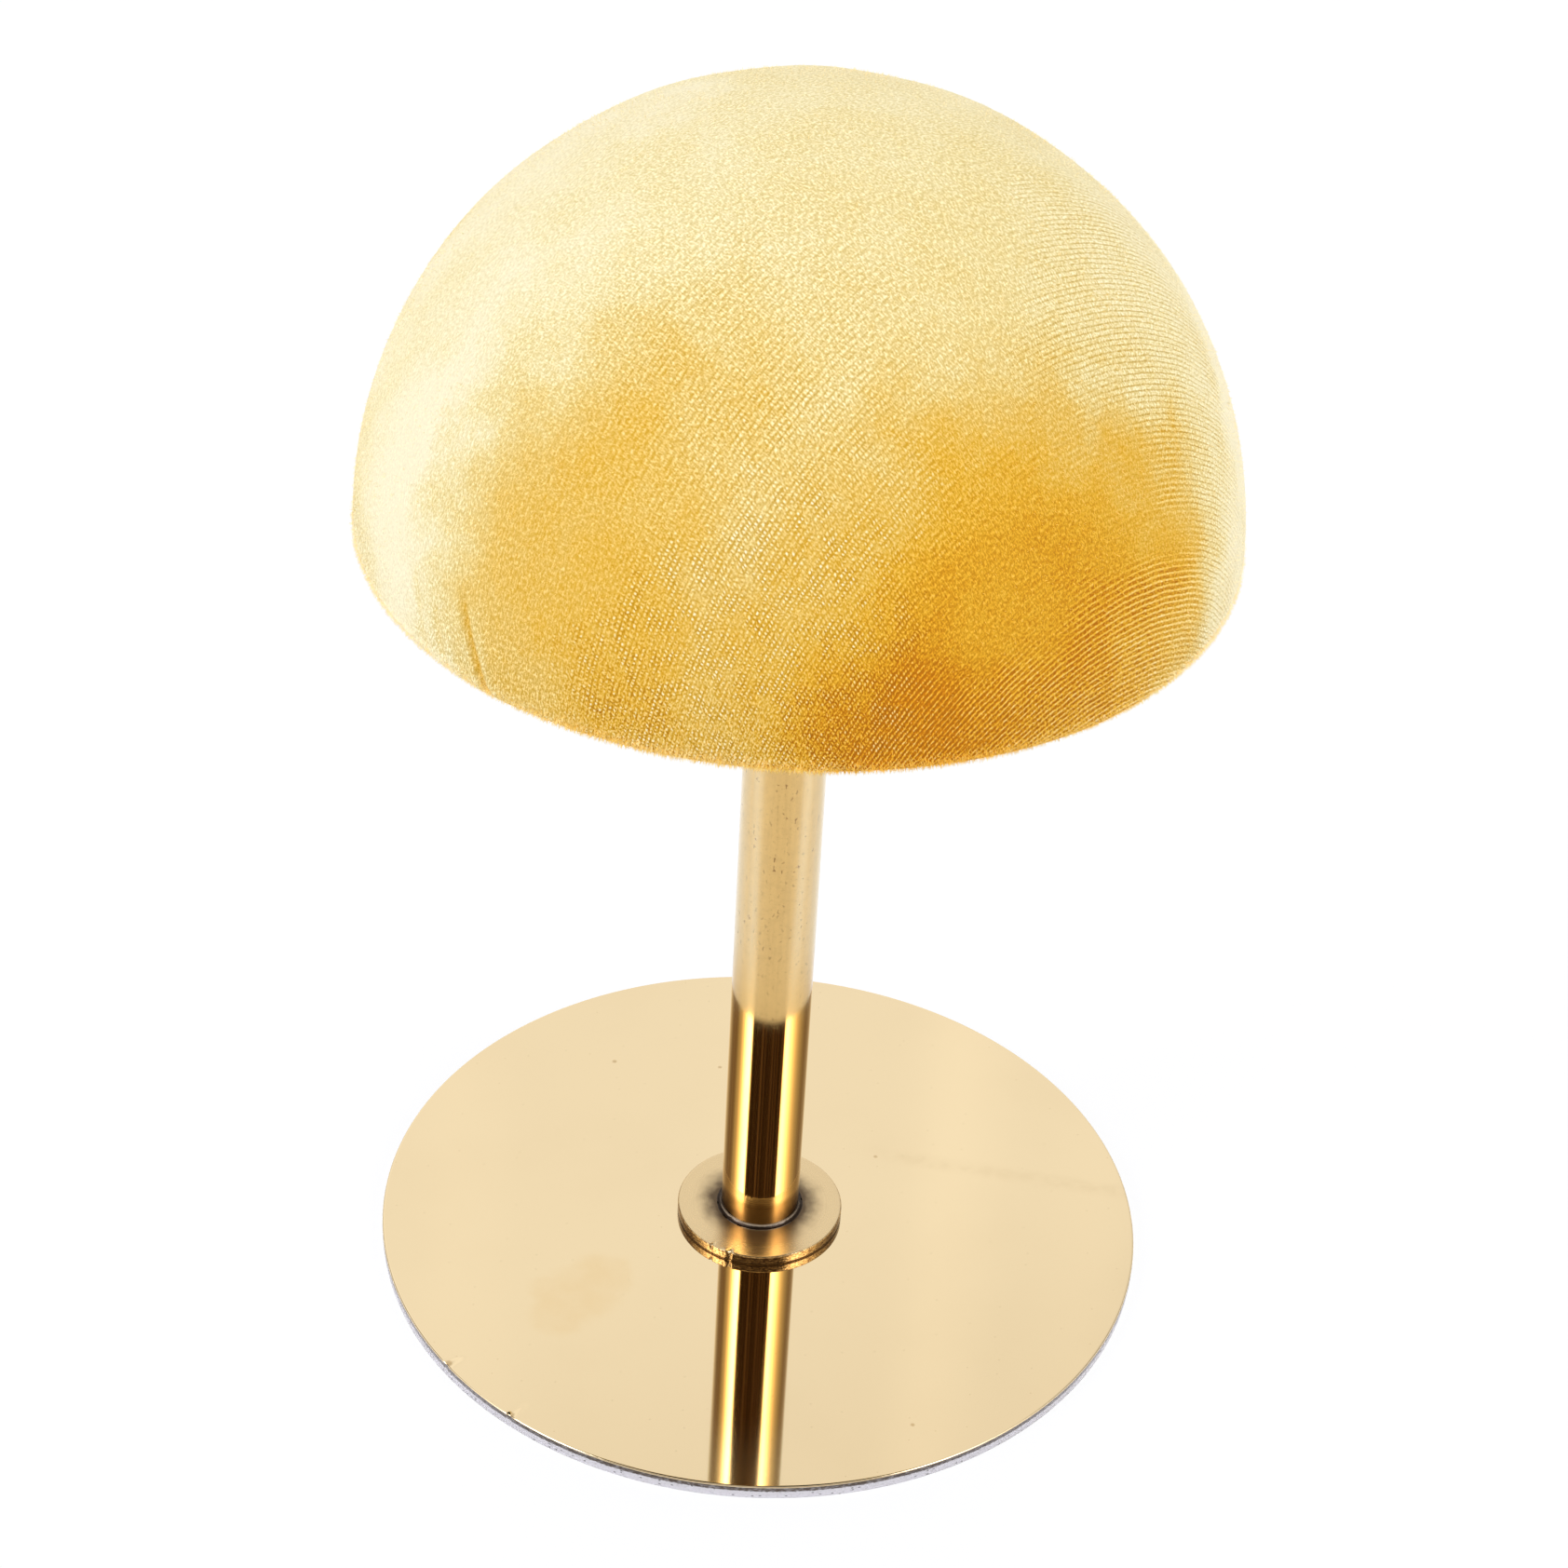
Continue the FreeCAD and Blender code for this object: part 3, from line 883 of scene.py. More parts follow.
        # painted highlight: in dark lays the crests of the rows are painted lighter, where they catch the
        # light
        crest_highlights = ridge - 0.42
        fibre = (
            (along * (1.0 - courses * 0.6) + crossing * (0.45 + courses * 0.55)) * (0.19 + low * 0.12)
            + (fleck - 0.5) * 0.045
            + rows * ((1 - dark) * light_rows * 0.18 + dark * crest_highlights * 0.31) * (0.7 + broken * 0.3)
            + tufts * (tuft - 0.26) * (0.10 + broken * (0.18 + fleck * 0.32))
        ) * (0.5 + lay.smooth(1.05, 0.75) * 0.5)
        shade = fibre + rows * dark * 0.045 + rim * 0.05 - fold * 0.04 + self.shade
        shade = shade.math("MINIMUM", self.shade_limits[1]).math("MAXIMUM", self.shade_limits[0])
        lit = fibre * (0.85 + dark * 0.15 + rows * 0.35 + tufts * 0.1)
        tone = lay + lit + rim * 0.09 - fold * 0.24
        colour = net.ramp(tone, self.stops)
        colour = net.add("VectorMath", {"operation": "SCALE"}, {0: colour, "Scale": shade})
        relief = fibre * 1.6 + tuft * tufts * 0.3 - seam * rows * 0.12
        return self.fibres(net, colour, net.bump(relief, depth=self.relief_depth, strength=0.7))

    def fibres(self, net: Net, colour: Sock, normal: Sock) -> Sock:
        """The pile's own gloss over its colour.

        Args:
            net: The material's nodes.
            colour: The pile's colour.
            normal: Its bent normal.

        Returns:
            The shader.
        """
        sheen = {"Sheen_Weight": 0.25, "Sheen_Roughness": 0.30, "Sheen_Tint": opaque(self.sheen_tint)}
        return net.surface(colour, 0.82, normal, **sheen, Specular_IOR_Level=0.12)


@dataclass(frozen=True)
class VelvetFringe(GoldVelvet):
    """The tips of the pile that stand out, which look lighter and more yellow, and glow with painted light.
    """

    lift: float = 0.10
    stops: tuple[Stop, ...] = (
        (0.0, (0.88, 0.56, 0.05)),
        (0.4, (0.94, 0.68, 0.12)),
        (0.7, (0.97, 0.79, 0.30)),
        (0.9, (0.98, 0.88, 0.52)),
        (1.0, (1.0, 0.94, 0.72)),
    )
    lit_through: Colour = (0.98, 0.77, 0.25)
    # painted light: how strongly the fibres glow
    glow: float = 0.48
    thinness: float = 0.5

    def fibres(self, net: Net, colour: Sock, normal: Sock) -> Sock:
        """Thin fibres, which let the light behind them through and glow with painted light.

        Args:
            net: The material's nodes.
            colour: The fibres' colour.
            normal: Their bent normal; not used.

        Returns:
            The shader.
        """
        # painted light: the fibres glow with their own colour, though they are no lamp
        glow = {"Emission_Color": colour, "Emission_Strength": self.glow}
        front = net.surface(colour, 0.8, **glow, Sheen_Weight=0.05)
        through = net.add("BsdfTranslucent", inputs={"Color": opaque(self.lit_through)})
        return net.add("MixShader", inputs={0: self.thinness, 1: front, 2: through})


@dataclass(frozen=True)
class DustCloth(Finish):
    """Black non-woven cloth: bonded fibres with a dimpled print."""

    black: Colour = (0.020, 0.020, 0.022)
    fibre: Colour = (0.085, 0.085, 0.09)
    dimple_pitch: float = 1.6

    def shader(self, net: Net) -> Sock:
        """Fibres and dimples.

        Args:
            net: The material's nodes.

        Returns:
            The shader.
        """
        place = net.place()
        x, y, _ = net.parts(place)
        dimples = (x / self.dimple_pitch).wave() * (y / self.dimple_pitch).wave()
        fibres = net.noise(net.vector("MULTIPLY", place, (1.0, 3.5, 1.0)), scale=1.8, detail=5.0)
        crossing = net.noise(net.vector("MULTIPLY", place, (3.5, 1.0, 1.0)), scale=1.8, detail=5.0)
        mesh = fibres.math("MAXIMUM", crossing)
        raised = mesh.smooth(0.5, 0.72) * (1 - dimples.smooth(0.5, 0.9) * 0.7)
        base = net.mix(raised, self.black, self.fibre)
        relief = mesh * 0.6 - dimples.smooth(0.4, 0.9)
        return net.surface(base, 0.85, net.bump(relief, depth=0.12, strength=0.8), Sheen_Weight=0.15)


@dataclass(frozen=True)
class Ripple:
    """A smooth random wave round a turned piece, the same on every run.

    lowest and highest are its fewest and most waves to a turn, along how fast it changes up the piece.
    """

    seed: int
    lowest: int
    highest: int
    along: float = 0.0
    terms: int = 18

    def at(self, angle: np.ndarray, level: Any = 0.0) -> np.ndarray:
        """The wave, about -1 to 1.

        Args:
            angle: Angles round the piece, in radians.
            level: Heights, in millimetres.

        Returns:
            The wave there.
        """
        draw = np.random.default_rng(self.seed)
        counts = draw.integers(self.lowest, self.highest + 1, self.terms)
        starts = draw.uniform(0, TURN, self.terms)
        climbs = draw.uniform(-self.along, self.along, self.terms)
        total = sum(np.sin(n * angle + s + c * level) for n, s, c in zip(counts, starts, climbs))
        return total * math.sqrt(2 / self.terms) * 0.6


def eased(value: np.ndarray, low: float, high: float) -> np.ndarray:
    """0 below low and 1 above high, smooth in between."""
    share = np.clip((value - low) / (high - low), 0, 1)
    return share * share * (3 - 2 * share)


def bell(away: np.ndarray, width: float = 1.0) -> np.ndarray:
    """1 where away is 0, falling off to both sides over the width."""
    return np.exp(-((away / width) ** 2))


def dressed_mesh(
    name: str,
    points: np.ndarray,
    faces: Sequence[Sequence[int]],
    finish: Finish,
    sharp_degrees: float = 40.0,
    cloth: Optional[np.ndarray] = None,
    folds: Optional[np.ndarray] = None,
) -> bpy.types.Object:
    """A mesh object with its finish.

    Args:
        name: The piece's name.
        points: Its corners, in millimetres in the row frame.
        faces: Its faces, as indices of corners.
        finish: The finish that it gets.
        sharp_degrees: The angle from which an edge is shaded sharp.
        cloth: Each corner's place on the flat cloth, in millimetres along and across its rows.
        folds: How deep each corner lies in a fold, from 0 to 1, which the velvet uses as painted shade.

    Returns:
        The object, in the scene.
    """
    mesh = bpy.data.meshes.new(name)
    mesh.from_pydata((points * MM).tolist(), [], faces)
    mesh.shade_smooth()
    mesh.set_sharp_from_angle(angle=math.radians(sharp_degrees))
    if cloth is not None:
        corner = np.zeros(len(mesh.loops), np.int32)
        mesh.loops.foreach_get("vertex_index", corner)
        layer = mesh.uv_layers.new(name=CLOTH_MAP)
        layer.uv.foreach_set("vector", cloth[corner].astype(np.float32).ravel())
    if folds is not None:
        mark = mesh.attributes.new(FOLD_SHADE_MARK, "FLOAT", "POINT")
        mark.data.foreach_set("value", folds.astype(np.float32))
    mesh.materials.append(finish.material())
    made = bpy.data.objects.new(name, mesh)
    bpy.context.scene.collection.objects.link(made)
    return made


def turned(
    name: str,
    outline: Sequence[Corner],
    segments: int,
    finish: Finish,
    shape: Optional[Shape] = None,
    sharp_degrees: float = 40.0,
) -> bpy.types.Object:
    """A closed ring turned about the pole's axis.

    Args:
        name: The piece's name.
        outline: The half section's corners (radius, level), anticlockwise with the axis on the left.
        segments: How many steps go round.
        finish: Its finish.
        shape: Moves the corners, from their angle, radius and level to a new radius and level.
        sharp_degrees: The angle from which an edge is shaded sharp.

    Returns:
        The object.
    """
    angle = np.linspace(0, TURN, segments, endpoint=False)[:, None]
    section = np.array(outline, float)
    count = len(section)
    radius = np.repeat(section[None, :, 0], segments, axis=0)
    level = np.repeat(section[None, :, 1], segments, axis=0)
    if shape is not None:
        radius, level = shape(np.repeat(angle, count, axis=1), radius, level)
    points = np.stack([radius * np.cos(angle), radius * np.sin(angle), level], axis=-1).reshape(-1, 3)
    faces = []
    for i in range(segments):
        here, there = i * count, (i + 1) % segments * count
        for j in range(count):
            k = (j + 1) % count
            faces.append((here + j, there + j, there + k, here + k))
    return dressed_mesh(name, points, faces, finish, sharp_degrees)


def steps(start: Corner, end: Corner, count: int) -> list[Corner]:
    """Evenly spaced points from start up to but without end."""
    shares = [i / count for i in range(count)]
    return [(start[0] + (end[0] - start[0]) * t, start[1] + (end[1] - start[1]) * t) for t in shares]


def corner_arc(centre: Corner, radius: float, first: float, last: float, count: int) -> list[Corner]:
    """Points on a rounded corner of a half section.

    Args:
        centre: The rounding's centre (radius, level).
        radius: The rounding's radius.
        first: The angle of the first point above level, in degrees.
        last: The angle of the last point.
        count: How many steps there are.

    Returns:
        The points, both ends included.
    """
    angles = [math.radians(first + (last - first) * i / count) for i in range(count + 1)]
    return [(centre[0] + radius * math.cos(a), centre[1] + radius * math.sin(a)) for a in angles]


def near_angle(angle: np.ndarray, degrees: float) -> np.ndarray:
    """How far each angle is from one angle, in degrees from -180 to 180."""
    return (np.degrees(angle) - degrees + 180) % 360 - 180


def dress_node(node: str, finish: Finish) -> None:
    """Gives a carried-over CAD node its finish."""
    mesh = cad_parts[node].data
    mesh.materials.clear()
    mesh.materials.append(finish.material())


def seat(piece: bpy.types.Object, body: Body, slot: Slot, *nodes: str) -> bpy.types.Object:
    """Puts a piece on its body.

    Args:
        piece: The piece.
        body: The body that it moves with.
        slot: The record's slot that it stands for; not used.
        nodes: The CAD nodes that it stands for.

    Returns:
        The piece.
    """
    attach(piece, body.value)
    if nodes:
        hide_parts(*nodes)
    LOG.info("%s: %d faces on %s", piece.name, len(piece.data.polygons), body.value)
    return piece


@dataclass
class BasePlate:
    """The punched round plate with its rolled top edge, sheared band and broken band.

    Sizes are in millimetres, and the chips' angles and widths in degrees.
    """

    radius: float = 78.0
    thickness: float = 3.0
    rollover: float = 0.25
    shear_level: float = 1.4
    break_setback: float = 0.15
    hole_radius: float = 3.3
    seat_radius: float = 5.7
    seat_recess: float = 0.2
    break_roughness: float = 0.03
    score_depth: float = 0.012
    band_wander: float = 0.12
    chip_depth: float = 0.45
    chip_radius: float = 77.2
    chip_level: float = 2.9
    chip_angles: tuple[float, ...] = (-140.4, -126.6)
    chip_widths: tuple[float, ...] = (0.55, 0.4)
    segments: int = 960

    def outline(self) -> list[Corner]:
        """The half section, anticlockwise from the top of the hole."""
        cone_top = self.seat_recess + self.seat_radius - self.hole_radius
        foot = (self.radius - self.break_setback, 0.0)
        edge_top = (self.radius, self.thickness - self.rollover)
        shear = (self.radius, self.shear_level)
        inner = [(self.hole_radius, self.thickness), (self.hole_radius, cone_top)]
        inner += [(self.seat_radius, self.seat_recess), (self.seat_radius, 0.0)]
        under = [(r, 0.0) for r in (16.0, 34.0, 52.0, 66.0, 74.0, 77.0)]
        side = steps(foot, shear, 7) + steps(shear, edge_top, 4)
        centre = (self.radius - self.rollover, self.thickness - self.rollover)
        roll = corner_arc(centre, self.rollover, 0.0, 90.0, 6)
        over = [(r, self.thickness) for r in (77.5, 76.5, 73.0, 66.0, 54.0, 40.0, 26.0, 12.0)]
        return inner + under + side + roll + over

    def shape(self, angle: np.ndarray, radius: np.ndarray, level: np.ndarray) -> Pair:
        """Roughens the broken band, scores the sheared one and sets the chips.

        Args:
            angle: Each corner's angle.
            radius: Each corner's radius.
            level: Each corner's level.

        Returns:
            The new radius and level.
        """
        on_edge = radius > self.radius - self.break_setback - 0.02
        torn = 1 - eased(level, self.shear_level - 0.25, self.shear_level + 0.1)
        torn = on_edge * torn * (level > 0.05)
        pits = np.maximum(Ripple(11, 180, 470, 5.0).at(angle, level), 0) + 0.5
        scored = on_edge * eased(level, self.shear_level, self.shear_level + 0.2) * self.score_depth
        radius = radius - torn * pits * self.break_roughness
        radius = radius - scored * (Ripple(12, 200, 460).at(angle) + 1)
        wander = on_edge * (np.abs(level - self.shear_level) < 0.1)
        level = level + wander * Ripple(13, 8, 60).at(angle) * self.band_wander
        for middle, width in zip(self.chip_angles, self.chip_widths):
            on_top = (radius > self.chip_radius) * (level > self.chip_level)
            high = on_edge * (level > self.shear_level + 0.5) + on_top
            bite = bell(near_angle(angle, middle), width) * (high > 0)
            radius = radius - bite * self.chip_depth * 0.5
            level = level - bite * self.chip_depth * 0.35
        return radius, level

    def build(self) -> None:
        """Makes and dresses the plate and its screw."""
        finish = MirrorGoldPlate()
        plate = turned("plate_mirror_gold", self.outline(), self.segments, finish, self.shape, 50.0)
        seat(plate, Body.STAND, Slot.PLATE, "base_plate")
        dress_node("base_screw", ZincSteel())


@dataclass
class PoleFoot:
    """The thick washer at the pole's foot, with its nick and burr, and the weld round the tube.

    Sizes are in millimetres, and the nicks' angles and widths in degrees. burrs gives the places, widths
    and shares of the metal that is pushed up beside the nick.
    """

    hole_radius: float = 3.3
    radius: float = 17.0
    bottom: float = 3.0
    top: float = 5.2
    edge_radius: float = 0.3
    rim_roughness: float = 0.018
    nick_angle: float = -109.5
    nick_width: float = 0.85
    nick_depth: float = 0.42
    burr_height: float = 0.12
    burrs: tuple[tuple[float, float, float], ...] = ((-3.6, 1.9, 1.0), (3.2, 1.3, 0.6))
    torn_angle: float = -105.5
    torn_width: float = 16.0
    small_nick_angle: float = -124.0
    small_nick_width: float = 0.9
    small_nick_depth: float = 0.3
    weld_inner: float = 8.03
    weld_leg: float = 0.9
    bead_height: float = 0.012
    leg_wander: float = 0.03
    beads: int = 46
    segments: int = 540
    weld_segments: int = 460

    def washer_outline(self) -> list[Corner]:
        """The washer's half section, anticlockwise from the top of its hole."""
        inset = self.radius - self.edge_radius
        low = corner_arc((inset, self.bottom + self.edge_radius), self.edge_radius, -90.0, 0.0, 4)
        high = corner_arc((inset, self.top - self.edge_radius), self.edge_radius, 0.0, 90.0, 4)
        wall = steps(low[-1], high[0], 5)[1:]
        over = [(r, self.top) for r in (16.3, 15.6, 14.4, 12.8, 11.0, 9.4, 8.0)]
        start = [(self.hole_radius, self.top), (self.hole_radius, self.bottom), (10.0, self.bottom)]
        return start + low + wall + high + over

    def washer_shape(self, angle: np.ndarray, radius: np.ndarray, level: np.ndarray) -> Pair:
        """Roughens the rim and cuts the nick, with metal pushed up beside it.

        Args:
            angle: Each corner's angle.
            radius: Each corner's radius.
            level: Each corner's level.

        Returns:
            The new radius and level.
        """
        outer = eased(radius, self.radius - 0.9, self.radius - 0.3)
        wall = (radius > self.radius - 0.25) * 1.0
        away = near_angle(angle, self.nick_angle)
        bite = bell(away, self.nick_width)
        burr = sum(share * bell(away - place, width) for place, width, share in self.burrs)
        small = bell(near_angle(angle, self.small_nick_angle), self.small_nick_width)
        high = eased(level, self.bottom + 0.7, self.top - 0.2)
        torn = 0.2 + 0.9 * bell(near_angle(angle, self.torn_angle), self.torn_width)
        ragged = Ripple(21, 14, 150, 4.0).at(angle, level) + 0.6
        radius = radius - wall * self.rim_roughness * torn * ragged
        radius = radius - outer * self.nick_depth * bite * (0.45 + 0.55 * high)
        radius = radius - outer * self.small_nick_depth * small * high
        level = level + outer * high * (burr * self.burr_height - bite * 0.2 - small * 0.12)
        return radius, level

    def weld_outline(self) -> list[Corner]:
        """The weld's hollow-faced half section, anticlockwise from its head."""
        centre = (self.weld_inner + self.weld_leg, self.top + self.weld_leg)
        face = corner_arc(centre, self.weld_leg, -90.0, -180.0, 6)
        return [(self.weld_inner, self.top)] + face

    def weld_shape(self, angle: np.ndarray, radius: np.ndarray, level: np.ndarray) -> Pair:
        """Gives the weld the beads that its run leaves.

        Args:
            angle: Each corner's angle.
            radius: Each corner's radius.
            level: Each corner's level.

        Returns:
            The new radius and level.
        """
        bead = np.abs(np.sin(angle * self.beads / 2 + 0.4 * Ripple(23, 3, 9).at(angle)))
        reach = eased(radius, self.weld_inner, self.weld_inner + self.weld_leg)
        grow = self.bead_height * bead - self.leg_wander + self.leg_wander * Ripple(22, 4, 14).at(angle)
        radius = radius + reach * grow
        level = level + (level > self.top + 0.02) * grow * 0.8
        return radius, level

    def build(self) -> None:
        """Makes and dresses the washer and the weld."""
        outline = self.washer_outline()
        washer = turned("foot_washer_satin", outline, self.segments, SatinGoldWasher(), self.washer_shape)
        seat(washer, Body.STAND, Slot.WASHER, "foot_washer")
        outline = self.weld_outline()
        weld = turned("foot_weld_bead", outline, self.weld_segments, WeldMetal(), self.weld_shape, 60.0)
        seat(weld, Body.STAND, Slot.WELD, "foot_weld")


@dataclass
class Pole:
    """The drawn tube with its plugs, and the threaded stud for the dome. Sizes are in millimetres."""

    radius: float = 8.0
    bore_radius: float = 7.0
    bottom: float = 5.2
    top: float = 169.0
    end_chamfer: float = 0.12
    wall_waviness: float = 0.006
    segments: int = 160
    stud_radius: float = 4.0
    stud_bottom: float = 153.0
    stud_top: float = 182.5
    thread_pitch: float = 1.25
    thread_depth: float = 0.68
    flank_slope: float = 2.6
    crest_share: float = 0.15
    stud_chamfer: float = 0.8
    stud_segments: int = 60
    steps_to_a_turn: int = 10

    def tube_shape(self, angle: np.ndarray, radius: np.ndarray, level: np.ndarray) -> Pair:
        """The slight waviness that drawing leaves in the wall."""
        wave = Ripple(31, 2, 7, 0.05).at(angle, level) * (radius > self.radius - 0.2)
        return radius + wave * self.wall_waviness, level

    def tube(self) -> bpy.types.Object:
        """The tube, with its ends broken by a small chamfer."""
        low, high = self.bottom + self.end_chamfer, self.top - self.end_chamfer
        face = self.radius - self.end_chamfer
        outline = [(self.bore_radius, self.bottom), (face, self.bottom)]
        outline += steps((self.radius, low), (self.radius, high), 54)
        outline += [(self.radius, high), (face, self.top)]
        outline += steps((self.bore_radius, self.top), (self.bore_radius, self.bottom), 6)
        return turned("pole_tube_mirror", outline, self.segments, MirrorGoldTube(), self.tube_shape, 30.0)

    def stud(self) -> bpy.types.Object:
        """The stud with a real helical thread.

        Returns:
            The object.
        """
        around = self.stud_segments
        levels = np.arange(self.stud_bottom, self.stud_top, self.thread_pitch / self.steps_to_a_turn)
        levels = np.append(levels, self.stud_top)
        angle = np.linspace(0, TURN, around, endpoint=False)
        lead = (levels[:, None] / self.thread_pitch - angle[None, :] / TURN) % 1.0
        tooth = np.clip(np.abs(lead - 0.5) * self.flank_slope - self.crest_share, 0, 1)
        to_end = np.minimum(levels - self.stud_bottom, self.stud_top - levels)[:, None]
        limit = self.stud_radius - np.clip(self.stud_chamfer - to_end, 0, None)
        radius = np.minimum(self.stud_radius - self.thread_depth * tooth, limit)
        height = np.repeat(levels[:, None], around, 1)
        grid = np.stack([radius * np.cos(angle), radius * np.sin(angle), height], -1)
        ends = [[0, 0, self.stud_bottom], [0, 0, self.stud_top]]
        points = np.concatenate([grid.reshape(-1, 3), ends])
        faces: list[tuple[int, ...]] = []
        last = (len(levels) - 1) * around
        low, high = len(points) - 2, len(points) - 1
        for i in range(around):
            k = (i + 1) % around
            faces.append((low, k, i))
            faces.append((high, last + i, last + k))
            for j in range(len(levels) - 1):
                a, b = j * around, (j + 1) * around
                faces.append((a + i, a + k, b + k, b + i))
        return dressed_mesh("stud_threaded", points, faces, ZincSteel(), 50.0)

    def build(self) -> None:
        """Makes and dresses the tube and the stud, and dresses the plugs."""
        seat(self.tube(), Body.STAND, Slot.TUBE, "pole_tube")
        seat(self.stud(), Body.STAND, Slot.ZINC, "head_stud")
        for node in ("lower_plug", "upper_plug"):
            dress_node(node, ZincSteel())


@dataclass(frozen=True)
class Pucker:
    """A small fold that runs down to the rim.

    azimuth is its place in degrees from the front at reach millimetres from the top, and lean how many
    degrees it shifts to a millimetre further down. start is where it begins, depth how deep it is and
    width half its width, all in millimetres.
    """

    azimuth: float
    reach: float
    lean: float
    start: float
    depth: float
    width: float


@dataclass
class VelvetDome:
    """The velvet-covered half ball: rows of pile over the top, round the rim and in under it.

    Sizes are in millimetres. Distances from the top are measured over the surface.
    """

    ball_radius: float = 79.85
    ball_level: float = 170.0
    rim_centre: float = 76.783
    rim_level: float = 171.6
    rim_radius: float = 3.05
    foam_edge: float = 1.6
    margin_end: float = 54.98
    cloth_thickness: float = 1.4
    pocket_radius: float = 73.1
    pocket_top: float = 179.2
    nut_pocket_radius: float = 13.0
    nut_pocket_top: float = 184.5
    row_pitch: float = 1.02
    row_azimuth: float = -45.0
    row_bend: float = 0.0032
    bend_start: float = 20.0
    row_height: float = 0.07
    foam_unevenness: float = 0.12
    ridge_place: float = 2.2
    pleat_height: float = 0.45
    ring_step: float = 2.6
    columns: int = 96
    puckers: tuple[Pucker, ...] = (
        Pucker(-42.6, 116.0, 0.36, 109.0, 0.50, 0.9),
        Pucker(-53.8, 113.1, 0.30, 109.0, 0.18, 0.9),
        Pucker(-48.6, 117.6, 0.30, 112.0, 0.22, 0.9),
        Pucker(-38.6, 120.0, 0.20, 115.0, 0.14, 0.8),
        Pucker(141.0, 116.0, -0.3, 110.0, 0.40, 1.0),
        Pucker(97.0, 119.0, 0.2, 113.0, 0.22, 0.9),
    )

    @property
    def meeting(self) -> float:
        """The angle above level at which the ball passes into the rim."""
        return math.atan2(self.foam_edge, self.rim_centre)

    @property
    def ball_reach(self) -> float:
        """The distance over the ball from its top to the rim's rounding."""
        return self.ball_radius * (math.pi / 2 - self.meeting)

    @property
    def rim_reach(self) -> float:
        """The distance from the top to the end of the rim's rounding."""
        return self.ball_reach + self.rim_radius * (math.pi / 2 + self.meeting)

    def surface(self, azimuth: np.ndarray, reach: np.ndarray) -> Pair:
        """Points of the bare outline and their normals.

        Args:
            azimuth: Angles from the front in radians, positive to the right.
            reach: Distances over the surface from the top, in millimetres.

        Returns:
            The points and the outward normals.
        """
        over = reach / self.ball_radius
        round_rim = self.meeting - (reach - self.ball_reach) / self.rim_radius
        on_ball = reach <= self.ball_reach
        on_rim = (reach > self.ball_reach) & (reach <= self.rim_reach)
        parts = [on_ball, on_rim]
        out = np.select(parts, [np.sin(over), np.cos(round_rim)], 0.0)
        up = np.select(parts, [np.cos(over), np.sin(round_rim)], -1.0)
        radius = np.select(
            parts,
            [self.ball_radius * out, self.rim_centre + self.rim_radius * out],
            self.rim_centre - (reach - self.rim_reach),
        )
        level = np.select(
            parts,
            [self.ball_level + self.ball_radius * up, self.rim_level + self.rim_radius * up],
            self.rim_level - self.rim_radius,
        )
        side = np.stack([np.sin(azimuth), -np.cos(azimuth)], -1)
        points = np.concatenate([side * radius[..., None], level[..., None]], -1)
        normals = np.concatenate([side * out[..., None], up[..., None]], -1)
        return points, normals

    def bend(self, reach: np.ndarray) -> np.ndarray:
        """How strongly the stretch bends the rows, as a share of the distance from the top."""
        return self.row_bend * np.maximum(reach - self.bend_start, 0) ** 2 / np.maximum(reach, 1.0)

    def turn_on_rows(self, u: np.ndarray, v: np.ndarray) -> np.ndarray:
        """The azimuth of a place on the cloth.

        Args:
            u: Distances along the rows.
            v: Distances across the rows.

        Returns:
            Angles from the front in radians.
        """
        reach = np.maximum(np.hypot(u, v), 1e-6)
        share, bend = v / reach, self.bend(reach)
        sine = share.copy()
        for _ in range(12):
            miss = sine * (1 - bend * (1 - sine * sine)) - share
            sine = sine - miss / (1 - bend + 3 * bend * sine * sine)
        sine = np.clip(sine, -1, 1)
        cosine = np.copysign(np.sqrt(1 - sine * sine), u)
        return np.arctan2(sine, cosine) + math.radians(self.row_azimuth)

    def cloth_at(self, azimuth: np.ndarray, reach: np.ndarray) -> np.ndarray:
        """The place on the cloth of a point of the dome.

        Args:
            azimuth: Angles from the front in radians.
            reach: Distances from the top.

        Returns:
            Distances along and across the rows.
        """
        turn = azimuth - math.radians(self.row_azimuth)
        share = np.sin(turn) * (1 - self.bend(reach) * np.cos(turn) ** 2)
        u = np.copysign(np.sqrt(np.maximum(1 - share * share, 0)), np.cos(turn))
        return np.stack([u, share], -1) * np.asarray(reach)[..., None]

    def relief(self, azimuth: np.ndarray, reach: np.ndarray, across: np.ndarray) -> Pair:
        """How far the pile stands out of the bare outline, and where its folds are.

        Args:
            azimuth: Angles from the front in radians.
            reach: Distances from the top.
            across: Distances across the rows.

        Returns:
            The height along the normal, in millimetres, and how deep a point is in a fold, for the painted
            shade in the valley and painted light on the ridges.
        """
        far = np.abs(across) / self.rim_reach
        rows = np.cos(TURN * across / self.row_pitch) * self.row_height * (0.35 + 0.65 * far)
        soft = Ripple(41, 2, 9, 0.09, 14).at(azimuth, reach) * self.foam_unevenness
        height, folds = rows + soft * eased(reach, 6.0, 50.0), np.zeros_like(reach)
        width = np.maximum(self.ball_radius * np.sin(np.minimum(reach / self.ball_radius, 1.55)), 1.0)
        wide = math.sqrt(2)
        for fold in self.puckers:
            middle = np.radians(fold.azimuth + fold.lean * (reach - fold.reach))
            aside = ((azimuth - middle + math.pi) % TURN - math.pi) * width / fold.width
            valley = bell(aside)
            ridges = bell(aside - self.ridge_place, wide) + 0.8 * bell(aside + self.ridge_place, wide)
            along = eased(reach, fold.start, fold.start + 5.0)
            along = along * (1 - eased(reach, self.rim_reach - 2, self.rim_reach))
            height = height + fold.depth * along * (ridges * 0.45 - valley)
